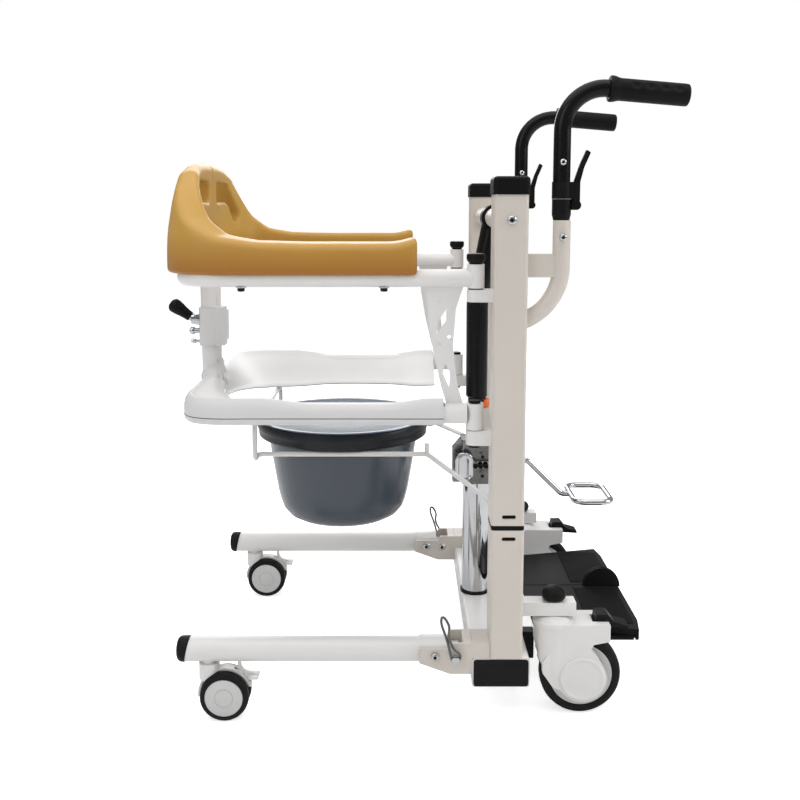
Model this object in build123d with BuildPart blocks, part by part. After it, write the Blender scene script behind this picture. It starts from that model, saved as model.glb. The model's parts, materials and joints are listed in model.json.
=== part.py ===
from build123d import *
import os

# Patient lift hoist: a fixed base with a foot pump, a lifting frame that slides
# up its two columns, and two seat halves that swing open on that frame.
# +X is the pushing end with the pedal, +Y the left, +Z up; millimetres.
# The origin is on the floor under the middle of the whole hoist.

os.makedirs("parts", exist_ok=True)
SIDES = ((-1, "right"), (1, "left"))

# clearances
run_gap = 0.05  # radial gap of a round running or sliding fit
fit_gap = 0.05  # gap round a bush, plug, bolt or pin that stays put
guide_gap = 0.3  # gap of the columns' guides on each face
part_gap = 0.3  # least gap between faces that move past each other
lock_gap = 0.4  # what a retracting lock leaves open

# telescoping columns
column_x = 150.0
column_y = 242.0
column_w = 50.0
column_d = 60.0
column_wall = 3.0
column_r = 5.0
lower_top = 308.0
gasket_t = 7.0
column_top = 812.0
mast_w = 38.0
mast_d = 48.0
mast_wall = 2.5
mast_r = 3.0
mast_top = 640.0
guide_h = 30.0
slot_w = 21.0
slot_h = 6.0
slot_x = 151.5
slot_rise = 13.5
cap_over = 2.0
cap_h = 26.5
cap_lap = 1.5
cap_r = 6.0

# base beam
beam_x = 142.5
beam_w = 88.0
beam_bottom = 59.0
beam_h = 46.0
beam_wall = 3.0
beam_r = 4.0
beam_half = 270.0
plug_t = 2.0
plug_depth = 16.0
plug_inset = 2.0
beam_top = beam_bottom + beam_h
beam_front = beam_x + beam_w / 2
beam_rear = beam_x - beam_w / 2

# folding legs and their brackets
leg_y = 244.0
leg_z = 109.0
leg_r = 19.0
leg_wall = 2.5
leg_end = -347.0
leg_cap_t = 11.0
sleeve_x = 20.0
sleeve_r = 21.0
sleeve_end = 61.0
tongue_end = 80.0
tongue_w = 34.0
tongue_z = (93.0, 114.0)
cheek_t = 4.0
cheek_gap = 44.0
pivot_at = (41.2, 108.5)
pivot_r = 5.0
pin_at = (72.5, 106.4)
pin_r = 4.0
bolt_head_r = 6.5
bolt_head_t = 4.0

# three inch twin casters
small_r = 38.0
small_stem_x = -310.0
small_trail = 25.0
small_wheel_w = 18.5
small_over = 46.0
small_axle_r = 4.0
small_stem_r = 6.0
small_house_r = 16.0
small_house_z = (62.0, 88.0)
hood_t = 3.2
small_brake_at = (-262.0, 72.0)
small_brake_t = 6.0

# five inch casters and their arms
big_r = 63.5
big_y = 224.0
big_stem_x = 228.5
big_trail = 42.5
tyre_w = 32.0
big_hub_r = 46.0
big_axle_r = 6.0
big_well_w = 36.0
big_well_r = 66.0
big_body_w = 60.0
big_house_r = 30.8
big_top = 150.0
big_dome_h = 8.6
big_stem_r = 8.0
arm_z = (159.0, 180.0)
arm_w = 28.0
arm_end = 262.0
arm_wall = 2.5
dome_r = 18.0
dome_h = 20.0
rocker_at = (303.0, 150.0)
rocker_w = 28.0
rocker_pin_r = 3.0

# footplates
plate_top = 114.0
plate_t = 10.0
plate_hinge_y = 165.0
plate_hinge_z = 94.0
plate_rod_r = 4.0
plate_barrel_r = 7.0
plate_rear = 208.0
plate_front = 380.0
plate_split = 1.5
tab_r = 30.0
tab_t = 3.0
lug_front = 206.0

# foot pump and push tube
pump_x = 122.5
pump_r = 23.7
pump_wall = 3.0
pump_top = 308.0
head_top = 387.0
head_half = 24.0
rod_r = 12.4
rod_bottom = 125.0
push_r = 19.0
push_wall = 3.0
push_bottom = 459.0
push_bend = (pump_x, 628.0)
rod_top = push_bottom + 16.0
neck_r = 15.0
neck_bottom = 446.0
shaft_z = 773.5
shaft_r = 17.3
shaft_disc_r = 23.0
shaft_disc_t = 5.0
eye_r = 23.0
pedal_z = 345.0
pedal_x = 115.0
pedal_r = 5.0
yoke_t = 6.0
yoke_reach = 39.0

# hinges of the seat halves
hinge_x = 100.4
half_y = 244.0
hinge_r = 13.0
hinge_pin_r = 6.0
upper_hinge_z = (652.0, 670.5)
upper_sleeve_z = (672.5, 708.0)
lower_hinge_z = (434.7, 457.0)
lower_sleeve_z = (458.2, 498.0)
knob_r = 14.0
knob_h = 12.5

# seat halves
arm_tube_r = 13.0
arm_tube_z = 687.0
seat_tube_r = 16.0
seat_tube_z = 482.5
frame_wall = 2.0
rear_x = -342.0
drop_y = 22.5
rear_bend = 55.0
drop_bend = 34.0
gusset_t = 4.0
half_gap = 1.5
seat_front = 53.0
seat_rear = -352.0
seat_side = 263.0
seat_skirt_z = 477.0
seat_crest_z = 507.0
seat_low_z = 461.0
seat_shell_t = 5.0
pad_bottom = 692.0
arm_top = 742.0
back_top = 865.0
pad_front = 13.0
pad_side = 266.0
pad_inner = 222.0
back_rear = -380.0
back_inner = -334.0

# commode pan, lid and their wire carrier
pan_x = -113.0
pan_r = 130.0
pan_wall = 3.0
pan_bottom = 246.0
pan_foot_r = 90.0
pan_mid_r = 114.0
pan_mid_z = 288.0
pan_taper_z = 386.0
rim_r = 150.0
rim_top = 425.0
lug_half = 162.0
lid_t = 3.0
wire_r = 4.0
rail_y = 138.0
rail_z = 391.5
hoop_y = 171.0
hoop_z = 448.0

# handle supports, folding handles and grips
support_x = 227.0
support_r = 13.0
support_top = 773.0
support_bend = 85.0
brace_z = (689.0, 723.0)
socket_r = 14.0
socket_top = 804.0
fold_at = (246.6, 795.0)
fold_pin_r = 3.0
fold_ear_r = 7.0
fold_ear_t = 8.0
handle_x = 225.5
handle_r = 12.7
handle_bend = 60.0
handle_block_top = 829.0
grip_start = 292.0
grip_end = 410.0
grip_r = 16.4
grip_drop = 0.084
grip_line_z = 969.4
lever_at = (247.0, 822.0)
lever_t = 6.0


def across(y=0.0):
    """Plane facing sideways at y: sketch x is +X and sketch y is +Z."""
    return Plane.XZ.offset(-y)


def bar(y, at, radius, length, mode=Mode.ADD):
    """Round bar across the hoist, centred on y, at a point of the side view."""
    with BuildSketch(across(y)) as face:
        with Locations(at):
            Circle(radius)
    extrude(face.sketch, amount=length / 2, both=True, mode=mode)


def post(at, z, radius, mode=Mode.ADD):
    """Upright round bar between two heights."""
    with BuildSketch(Plane.XY.offset(z[0])) as face:
        with Locations(at):
            Circle(radius)
    extrude(face.sketch, amount=z[1] - z[0], mode=mode)


def rail(x, y, z, radius, mode=Mode.ADD):
    """Round bar along X."""
    with BuildSketch(Plane.YZ.offset(x[0])) as face:
        with Locations((y, z)):
            Circle(radius)
    extrude(face.sketch, amount=x[1] - x[0], mode=mode)


def block(x, y, z, corner=0.0, mode=Mode.ADD):
    """Block between pairs of limits, its upright edges rounded."""
    with BuildSketch(Plane.XY.offset(z[0])) as face:
        with Locations(((x[0] + x[1]) / 2, (y[0] + y[1]) / 2)):
            if corner > 0:
                RectangleRounded(abs(x[1] - x[0]), abs(y[1] - y[0]), corner)
            else:
                Rectangle(abs(x[1] - x[0]), abs(y[1] - y[0]))
    extrude(face.sketch, amount=z[1] - z[0], mode=mode)


def panel(x, y, z, corner=0.0, mode=Mode.ADD):
    """Block between pairs of limits, its sideways edges rounded."""
    with BuildSketch(across((y[0] + y[1]) / 2)) as face:
        with Locations(((x[0] + x[1]) / 2, (z[0] + z[1]) / 2)):
            if corner > 0:
                RectangleRounded(abs(x[1] - x[0]), abs(z[1] - z[0]), corner)
            else:
                Rectangle(abs(x[1] - x[0]), abs(z[1] - z[0]))
    extrude(face.sketch, amount=abs(y[1] - y[0]) / 2, both=True, mode=mode)


def slab(points, y, thick, corner=0.0, mode=Mode.ADD):
    """Flat plate drawn in the side view, centred on y."""
    with BuildSketch(across(y)) as face:
        with BuildLine():
            Polyline(*points, close=True)
        make_face()
        if corner > 0:
            fillet(face.vertices(), corner)
    extrude(face.sketch, amount=thick / 2, both=True, mode=mode)


def lathe(origin, axis, out, profile, rounds=(), mode=Mode.ADD):
    """Turned body; the profile is (radius, distance along the axis)."""
    plane = Plane(origin=origin, x_dir=out, z_dir=Vector(*out).cross(Vector(*axis)))
    with BuildSketch(plane) as face:
        with BuildLine():
            Polyline(*profile, close=True)
        make_face()
        for point, radius in rounds:
            fillet(face.vertices().sort_by_distance((*point, 0))[0], radius)
    revolve(face.sketch, axis=Axis(origin, axis), mode=mode)


def pipe(points, bends, radius, wall=0.0, mode=Mode.ADD):
    """Round tube along straight runs and bends; without a wall it is solid."""
    with BuildLine() as path:
        FilletPolyline(*points, radius=bends)
    route = path.wires()[0]
    with BuildSketch(Plane(origin=route @ 0, z_dir=route % 0)) as face:
        Circle(radius)
        if wall > 0:
            Circle(radius - wall, mode=Mode.SUBTRACT)
    sweep(face.sketch, path=route, mode=mode)


def save(piece, name):
    """Labels a finished piece and writes its file."""
    piece.part.label = name
    export_step(piece.part, f"parts/{name}.step")


def column_tube(y, z, grow=0.0):
    """Column-sized rectangular tube standing on the column's centre."""
    x = (column_x - column_w / 2, column_x + column_w / 2)
    outer_y = (y - column_d / 2, y + column_d / 2)
    block(x, outer_y, z, column_r)
    inner_x = (x[0] + column_wall, x[1] - column_wall)
    inner_y = (outer_y[0] + column_wall, outer_y[1] - column_wall)
    block(inner_x, inner_y, z, column_r - column_wall, mode=Mode.SUBTRACT)


def frame_ring(y, z, outer, inner, corners):
    """Rectangular ring round the column's centre, sizes as (along X, along Y)."""
    for size, corner, mode in (
        (outer, corners[0], Mode.ADD),
        (inner, corners[1], Mode.SUBTRACT),
    ):
        x = (column_x - size[0] / 2, column_x + size[0] / 2)
        across_y = (y - size[1] / 2, y + size[1] / 2)
        block(x, across_y, z, corner, mode=mode)


column_bore = (column_w - 2 * column_wall, column_d - 2 * column_wall)
mast_size = (mast_w, mast_d)
gasket_top = lower_top + gasket_t
upper_bottom = gasket_top + part_gap

# ---- base -------------------------------------------------------------

with BuildPart() as base_beam:
    beam_y = (-beam_half, beam_half)
    panel((beam_rear, beam_front), beam_y, (beam_bottom, beam_top), beam_r)
    inner_x = (beam_rear + beam_wall, beam_front - beam_wall)
    inner_z = (beam_bottom + beam_wall, beam_top - beam_wall)
    panel(inner_x, beam_y, inner_z, beam_r - beam_wall, mode=Mode.SUBTRACT)
save(base_beam, "base_beam")

with BuildPart() as base_end_caps:
    for side, _ in SIDES:
        face_y = (side * beam_half, side * (beam_half + plug_t))
        x = (beam_rear + plug_inset, beam_front - plug_inset)
        z = (beam_bottom + plug_inset, beam_top - plug_inset)
        panel(x, face_y, z, beam_r)
        depth_y = (side * beam_half, side * (beam_half - plug_depth))
        inset = beam_wall + fit_gap
        x = (beam_rear + inset, beam_front - inset)
        z = (beam_bottom + inset, beam_top - inset)
        panel(x, depth_y, z, beam_r - beam_wall)
        lathe(
            (big_stem_x, side * big_y, arm_z[1]),
            (0, 0, 1),
            (1, 0, 0),
            ((0, 0), (12.0, 0), (dome_r, 7.0), (dome_r, 13.0), (12.0, dome_h), (0, dome_h)),
            (((dome_r, 7.0), 5.0), ((dome_r, 13.0), 6.0), ((12.0, dome_h), 8.0)),
        )
        post(
            (big_stem_x, side * big_y),
            (arm_z[1], arm_z[1] + 9.0),
            big_stem_r + 5.0,
            mode=Mode.SUBTRACT,
        )
save(base_end_caps, "base_end_caps")

with BuildPart() as lower_columns:
    for side, _ in SIDES:
        column_tube(side * column_y, (beam_top, lower_top))
        out_y = side * (column_y + column_d / 2)
        slot_z = lower_top - slot_rise
        panel(
            (slot_x - slot_w / 2, slot_x + slot_w / 2),
            (out_y - side * (column_wall + 1), out_y + side),
            (slot_z - slot_h / 2, slot_z + slot_h / 2),
            slot_h / 2 - 0.2,
            mode=Mode.SUBTRACT,
        )
save(lower_columns, "lower_columns")

with BuildPart() as base_bushes:
    mast_hole = (mast_w + 2 * fit_gap, mast_d + 2 * fit_gap)
    plug_size = (column_bore[0] - 2 * fit_gap, column_bore[1] - 2 * fit_gap)
    top_size = (column_bore[0] - 2 * guide_gap, column_bore[1] - 2 * guide_gap)
    for side, _ in SIDES:
        y = side * column_y
        rim = (column_w, column_d)
        frame_ring(y, (lower_top, gasket_top), rim, mast_hole, (column_r, mast_r))
        plug_z = (lower_top - 24.0, lower_top)
        frame_ring(y, plug_z, plug_size, mast_hole, (2.0, mast_r))
        bush_z = (mast_top - guide_h, mast_top)
        frame_ring(y, bush_z, top_size, mast_hole, (2.0, mast_r))
    post((pump_x, 0), (beam_top, beam_top + 5.0), pump_r + 2.5)
    post((pump_x, 0), (beam_top, beam_top + 5.0), pump_r + fit_gap, mode=Mode.SUBTRACT)
save(base_bushes, "base_bushes")

with BuildPart() as inner_masts:
    mast_bore = (mast_w - 2 * mast_wall, mast_d - 2 * mast_wall)
    for side, _ in SIDES:
        mast_z = (beam_top, mast_top)
        frame_ring(
            side * column_y, mast_z, mast_size, mast_bore, (mast_r, mast_r - mast_wall)
        )
save(inner_masts, "inner_masts")

cheek_outer = leg_y + cheek_gap / 2 + cheek_t
cheek_inner = leg_y - cheek_gap / 2 - cheek_t
with BuildPart() as leg_brackets:
    cheek_shape = (
        (17.0, 120.0),
        (64.0, 120.0),
        (68.0, 129.0),
        (beam_rear, 129.0),
        (beam_rear, 80.0),
        (64.0, 80.0),
        (17.0, 97.0),
    )
    for side, _ in SIDES:
        for offset in (-1, 1):
            y = side * leg_y + offset * (cheek_gap + cheek_t) / 2
            slab(cheek_shape, y, cheek_t, 3.0)
            bar(y, pivot_at, pivot_r + fit_gap, cheek_t + 1, mode=Mode.SUBTRACT)
            if offset == side:
                bar(y, pin_at, pin_r + run_gap, cheek_t + 1, mode=Mode.SUBTRACT)
        stub_y = (side * cheek_inner, side * cheek_outer)
        panel((84.0, beam_rear), stub_y, (111.0, 129.0), 1.0)
        column_rear = column_x - column_w / 2
        panel((beam_rear, column_rear), stub_y, (beam_top, 129.0), 0.0)
save(leg_brackets, "leg_brackets")

with BuildPart() as base_bolts:
    for side, _ in SIDES:
        bar(side * leg_y, pivot_at, pivot_r, 2 * (cheek_outer - leg_y))
        for end in (-1, 1):
            y = side * leg_y + end * (cheek_outer - leg_y + bolt_head_t / 2)
            bar(y, pivot_at, bolt_head_r, bolt_head_t)
            if end == side:
                bar(y + side * bolt_head_t / 2, pivot_at, 2.6, 4.0, mode=Mode.SUBTRACT)
save(base_bolts, "base_bolts")

with BuildPart() as caster_arms:
    column_front = column_x + column_w / 2
    for side, _ in SIDES:
        y = (side * big_y - arm_w / 2, side * big_y + arm_w / 2)
        block((column_front, arm_end), y, arm_z, 0.0)
        inner_y = (y[0] + arm_wall, y[1] - arm_wall)
        inner_z = (arm_z[0] + arm_wall, arm_z[1] - arm_wall)
        block((column_front, arm_end - arm_wall), inner_y, inner_z, mode=Mode.SUBTRACT)
        post((big_stem_x, side * big_y), arm_z, big_stem_r + 4.0)
        post((big_stem_x, side * big_y), arm_z, big_stem_r + run_gap, mode=Mode.SUBTRACT)
save(caster_arms, "caster_arms")

with BuildPart() as footplate_brackets:
    for side, _ in SIDES:
        y = side * plate_hinge_y
        block((beam_front, lug_front), (y - 10.0, y + 10.0), (60.0, beam_top), 2.0)
        rail((lug_front, plate_front - 6.0), y, plate_hinge_z, plate_rod_r)
        rail((plate_front - 6.0, plate_front - 2.0), y, plate_hinge_z, plate_barrel_r)
save(footplate_brackets, "footplate_brackets")

with BuildPart() as pump_body:
    post((pump_x, 0), (beam_top, pump_top), pump_r)
    post((pump_x, 0), (beam_top + 6.0, pump_top), pump_r - pump_wall, mode=Mode.SUBTRACT)
save(pump_body, "pump_body")

with BuildPart() as pump_head:
    block((96.0, 147.0), (-head_half, head_half), (pump_top, head_top), 4.0)
    head_side = ((80.0, 308.0), (147.0, 308.0), (147.0, 376.0), (135.0, 387.0), (96.0, 387.0), (80.0, 368.0))
    slab(head_side, 0.0, 22.0, 3.0)
    oval_y = -head_half - 1.0
    with BuildSketch(across(oval_y)) as oval:
        with Locations((98.0, 342.0)):
            SlotOverall(48.0, 22.0, rotation=90)
    extrude(oval.sketch, amount=1.0, both=True)
    post((pump_x, 0), (pump_top, head_top), rod_r + run_gap, mode=Mode.SUBTRACT)
    for side, _ in SIDES:
        bar(side * (head_half + yoke_t), (pedal_x, pedal_z), 5.0, 2 * yoke_t)
        bar(side * (head_half + 2 * yoke_t + 1.5), (pedal_x, pedal_z), 8.0, 3.0)
save(pump_head, "pump_head")

# ---- lifting frame ----------------------------------------------------

with BuildPart() as upper_columns:
    for side, _ in SIDES:
        y = side * column_y
        column_tube(y, (upper_bottom, column_top))
        out_y = y + side * column_d / 2
        slot_z = upper_bottom + slot_rise
        panel(
            (slot_x - slot_w / 2, slot_x + slot_w / 2),
            (out_y - side * (column_wall + 1), out_y + side),
            (slot_z - slot_h / 2, slot_z + slot_h / 2),
            slot_h / 2 - 0.2,
            mode=Mode.SUBTRACT,
        )
        bar(y, (column_x, shaft_z), 4.0 + fit_gap, column_d + 2, mode=Mode.SUBTRACT)
save(upper_columns, "upper_columns")

with BuildPart() as column_fittings:
    for side, _ in SIDES:
        y = side * column_y
        cap_x = column_w / 2 + cap_over
        cap_y = column_d / 2 + cap_over
        cap_z = (column_top - cap_lap, column_top - cap_lap + cap_h)
        block((column_x - cap_x, column_x + cap_x), (y - cap_y, y + cap_y), cap_z, column_r + cap_over)
        pocket_x = column_w / 2 + fit_gap
        pocket_y = column_d / 2 + fit_gap
        block(
            (column_x - pocket_x, column_x + pocket_x),
            (y - pocket_y, y + pocket_y),
            (cap_z[0], column_top),
            column_r,
            mode=Mode.SUBTRACT,
        )
    fillet(column_fittings.faces().filter_by(Axis.Z).group_by(Axis.Z)[-1].edges(), cap_r)
    guide_out = (column_bore[0] - 2 * fit_gap, column_bore[1] - 2 * fit_gap)
    guide_in = (mast_w + 2 * guide_gap, mast_d + 2 * guide_gap)
    guide_z = (upper_bottom + 0.7, upper_bottom + 0.7 + guide_h)
    for side, _ in SIDES:
        frame_ring(side * column_y, guide_z, guide_out, guide_in, (2.0, mast_r))
save(column_fittings, "column_fittings")

shaft_half = column_y - column_d / 2
with BuildPart() as cross_shaft:
    bar(0, (column_x, shaft_z), shaft_r, 2 * shaft_half)
    for side, _ in SIDES:
        bar(side * (shaft_half - shaft_disc_t / 2), (column_x, shaft_z), shaft_disc_r, shaft_disc_t)
        bar(side * shaft_half, (column_x, shaft_z), 4.0 + fit_gap, 50.0, mode=Mode.SUBTRACT)
save(cross_shaft, "cross_shaft")

bolt_z = 748.0
with BuildPart() as lift_bolts:
    for side, _ in SIDES:
        head_y = column_y + column_d / 2
        bar(side * (head_y - 42.0), (column_x, shaft_z), 4.0, 84.0)
        bar(side * (head_y + 1.5), (column_x, shaft_z), bolt_head_r, 3.0)
        bar(side * (head_y + 3.0), (column_x, shaft_z), 2.6, 3.0, mode=Mode.SUBTRACT)
        bar(side * half_y, (support_x, bolt_z), 3.0, 2 * support_r)
        for end in (-1, 1):
            bar(side * half_y + end * (support_r + 1.3), (support_x, bolt_z), 5.5, 2.6)
save(lift_bolts, "lift_bolts")

with BuildPart() as push_tube:
    tube_path = ((push_bend[0], 0, push_bottom), (push_bend[0], 0, push_bend[1]), (column_x, 0, shaft_z))
    pipe(tube_path, 120.0, push_r)
    chamfer(push_tube.faces().sort_by(Axis.Z)[0].edges(), 3.0)
    bar(0, (column_x, shaft_z), eye_r, 2 * push_r)
    bar(0, (column_x, shaft_z), shaft_r + fit_gap, 3 * push_r, mode=Mode.SUBTRACT)
    post((push_bend[0], 0), (neck_bottom, push_bottom), neck_r)
    post((push_bend[0], 0), (neck_bottom, rod_top), rod_r + fit_gap, mode=Mode.SUBTRACT)
    post((push_bend[0], 0), (rod_top, push_bend[1] - 30.0), push_r - push_wall, mode=Mode.SUBTRACT)
save(push_tube, "push_tube")

with BuildPart() as pump_rod:
    post((pump_x, 0), (rod_bottom, rod_top), rod_r)
save(pump_rod, "pump_rod")

with BuildPart() as release_clip:
    clip_x = (push_bend[0] + 4.0, push_bend[0] + 24.0)
    block(clip_x, (-9.0, 9.0), (neck_bottom - 7.0, neck_bottom - 1.0), 2.0)
    block((push_bend[0] + neck_r + 1.0, clip_x[1]), (-9.0, 9.0), (neck_bottom - 1.0, push_bottom - 2.0), 1.5)
    post((push_bend[0], 0), (neck_bottom - 8.0, push_bottom), rod_r + fit_gap, mode=Mode.SUBTRACT)
save(release_clip, "release_clip")

with BuildPart() as handle_supports:
    for side, _ in SIDES:
        y = side * half_y
        path = ((support_x, y, support_top), (support_x, y, 646.6), (168.0, y, 621.7))
        pipe(path, support_bend, support_r)
        panel((column_front - 4, support_x), (y - 9.0, y + 9.0), brace_z, 3.0)
        post((support_x, y), (738.0, support_top), 11.0, mode=Mode.SUBTRACT)
        bar(y, (support_x, bolt_z), 3.0 + fit_gap, 60.0, mode=Mode.SUBTRACT)
    block((100.0, column_front), (-300.0, 300.0), (560.0, 760.0), mode=Mode.SUBTRACT)
save(handle_supports, "handle_supports")

with BuildPart() as hinge_brackets:
    for side, _ in SIDES:
        y = side * half_y
        for z in (upper_hinge_z, lower_hinge_z):
            block((hinge_x, column_x - column_w / 2), (y - hinge_r, y + hinge_r), z)
            post((hinge_x, y), z, hinge_r)
            post((hinge_x, y), z, hinge_pin_r + fit_gap, mode=Mode.SUBTRACT)
save(hinge_brackets, "hinge_brackets")

with BuildPart() as hinge_pins:
    for side, _ in SIDES:
        at = (hinge_x, side * half_y)
        knob_z = upper_sleeve_z[1] + 0.5
        post(at, (upper_hinge_z[0] - 2.0, knob_z), hinge_pin_r)
        post(at, (upper_hinge_z[1], upper_sleeve_z[0] - part_gap), 11.0)
        post(at, (upper_hinge_z[0] - 4.0, upper_hinge_z[0]), 9.0)
        post(at, (knob_z, knob_z + 3.0), 10.0)
        lathe(
            (*at, knob_z + 3.0),
            (0, 0, 1),
            (1, 0, 0),
            ((0, 0), (knob_r - 2, 0), (knob_r, 4), (knob_r, knob_h), (0, knob_h)),
            (((knob_r, knob_h), 3.0),),
        )
        cap_z = lower_sleeve_z[1] + 0.5
        post(at, (lower_hinge_z[0] - 2.0, cap_z), hinge_pin_r)
        post(at, (lower_hinge_z[1], lower_sleeve_z[0] - part_gap), 11.0)
        post(at, (lower_hinge_z[0] - 4.0, lower_hinge_z[0]), 9.0)
        post(at, (cap_z, cap_z + 4.0), 9.0)
save(hinge_pins, "hinge_pins")

carrier_end = (131.0, 333.0)
carrier_front = 32.0
carrier_rear = -244.0
with BuildPart() as pan_carrier:
    for side, _ in SIDES:
        points = (
            (carrier_end[0], side * (shaft_half - 3.5), carrier_end[1]),
            (carrier_front, side * rail_y, rail_z),
            (carrier_rear, side * rail_y, rail_z),
            (carrier_rear, side * hoop_y, rail_z),
            (carrier_rear, side * hoop_y, hoop_z),
            (carrier_rear, 0, hoop_z),
        )
        pipe(points, 10.0, wire_r)
        bar(side * (shaft_half - 3.5), carrier_end, 7.0, 7.0)
        post((carrier_front, side * rail_y), (rail_z, rail_z + 18.0), wire_r)
save(pan_carrier, "pan_carrier")

with BuildPart() as handle_sockets:
    for side, _ in SIDES:
        y = side * half_y
        lathe(
            (support_x - 1.0, y, support_top),
            (0, 0, 1),
            (1, 0, 0),
            ((0, 0), (12.0, 0), (socket_r, 8.0), (socket_r, socket_top - support_top), (0, socket_top - support_top)),
        )
        post((support_x, y), (738.0, support_top), 11.0 - fit_gap)
        bar(y, (support_x, bolt_z), 3.0 + fit_gap, 60.0, mode=Mode.SUBTRACT)
        panel((support_x, fold_at[0]), (y - fold_ear_t / 2, y + fold_ear_t / 2), (fold_at[1] - fold_ear_r, fold_at[1] + fold_ear_r))
        bar(y, fold_at, fold_ear_r, fold_ear_t)
        for end in (-1, 1):
            bar(y + end * (fold_ear_t / 2 + 3.0), fold_at, fold_ear_r + 0.5, 6.0, mode=Mode.SUBTRACT)
        bar(y, fold_at, fold_pin_r, 24.0)
save(handle_sockets, "handle_sockets")

# ---- foot pedal -------------------------------------------------------

loop_x = (291.0, 356.0)
loop_half = 53.0
loop_z = 284.0
with BuildPart() as pump_pedal:
    yoke_y = head_half + yoke_t
    cross_x = pedal_x + yoke_reach
    for side, _ in SIDES:
        y = (side * yoke_y - yoke_t / 2, side * yoke_y + yoke_t / 2)
        panel((pedal_x, cross_x + 8.0), y, (pedal_z - 6.0, pedal_z + 6.0))
        bar(side * yoke_y, (pedal_x, pedal_z), 9.0, yoke_t)
        bar(side * yoke_y, (pedal_x, pedal_z), 5.0 + run_gap, 2 * yoke_t, mode=Mode.SUBTRACT)
    span = yoke_y + yoke_t / 2
    panel((cross_x, cross_x + 8.0), (-span, span), (pedal_z - 6.0, pedal_z + 6.0))
    arm_points = ((cross_x + 4, 0, pedal_z), (213.0, 0, pedal_z), (275.0, 0, loop_z), (loop_x[0], 0, loop_z))
    pipe(arm_points, 14.0, pedal_r)
    with BuildLine(Plane.XY.offset(loop_z)) as loop:
        corners = (
            (loop_x[0], loop_half),
            (loop_x[1], loop_half),
            (loop_x[1], -loop_half),
            (loop_x[0], -loop_half),
        )
        FilletPolyline(*corners, radius=20.0, close=True)
    ring = loop.wires()[0]
    with BuildSketch(Plane(origin=ring @ 0, z_dir=ring % 0)) as ring_face:
        Circle(pedal_r)
    sweep(ring_face.sketch, path=ring)
save(pump_pedal, "pump_pedal")

# ---- folding legs and their casters -----------------------------------

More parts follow.
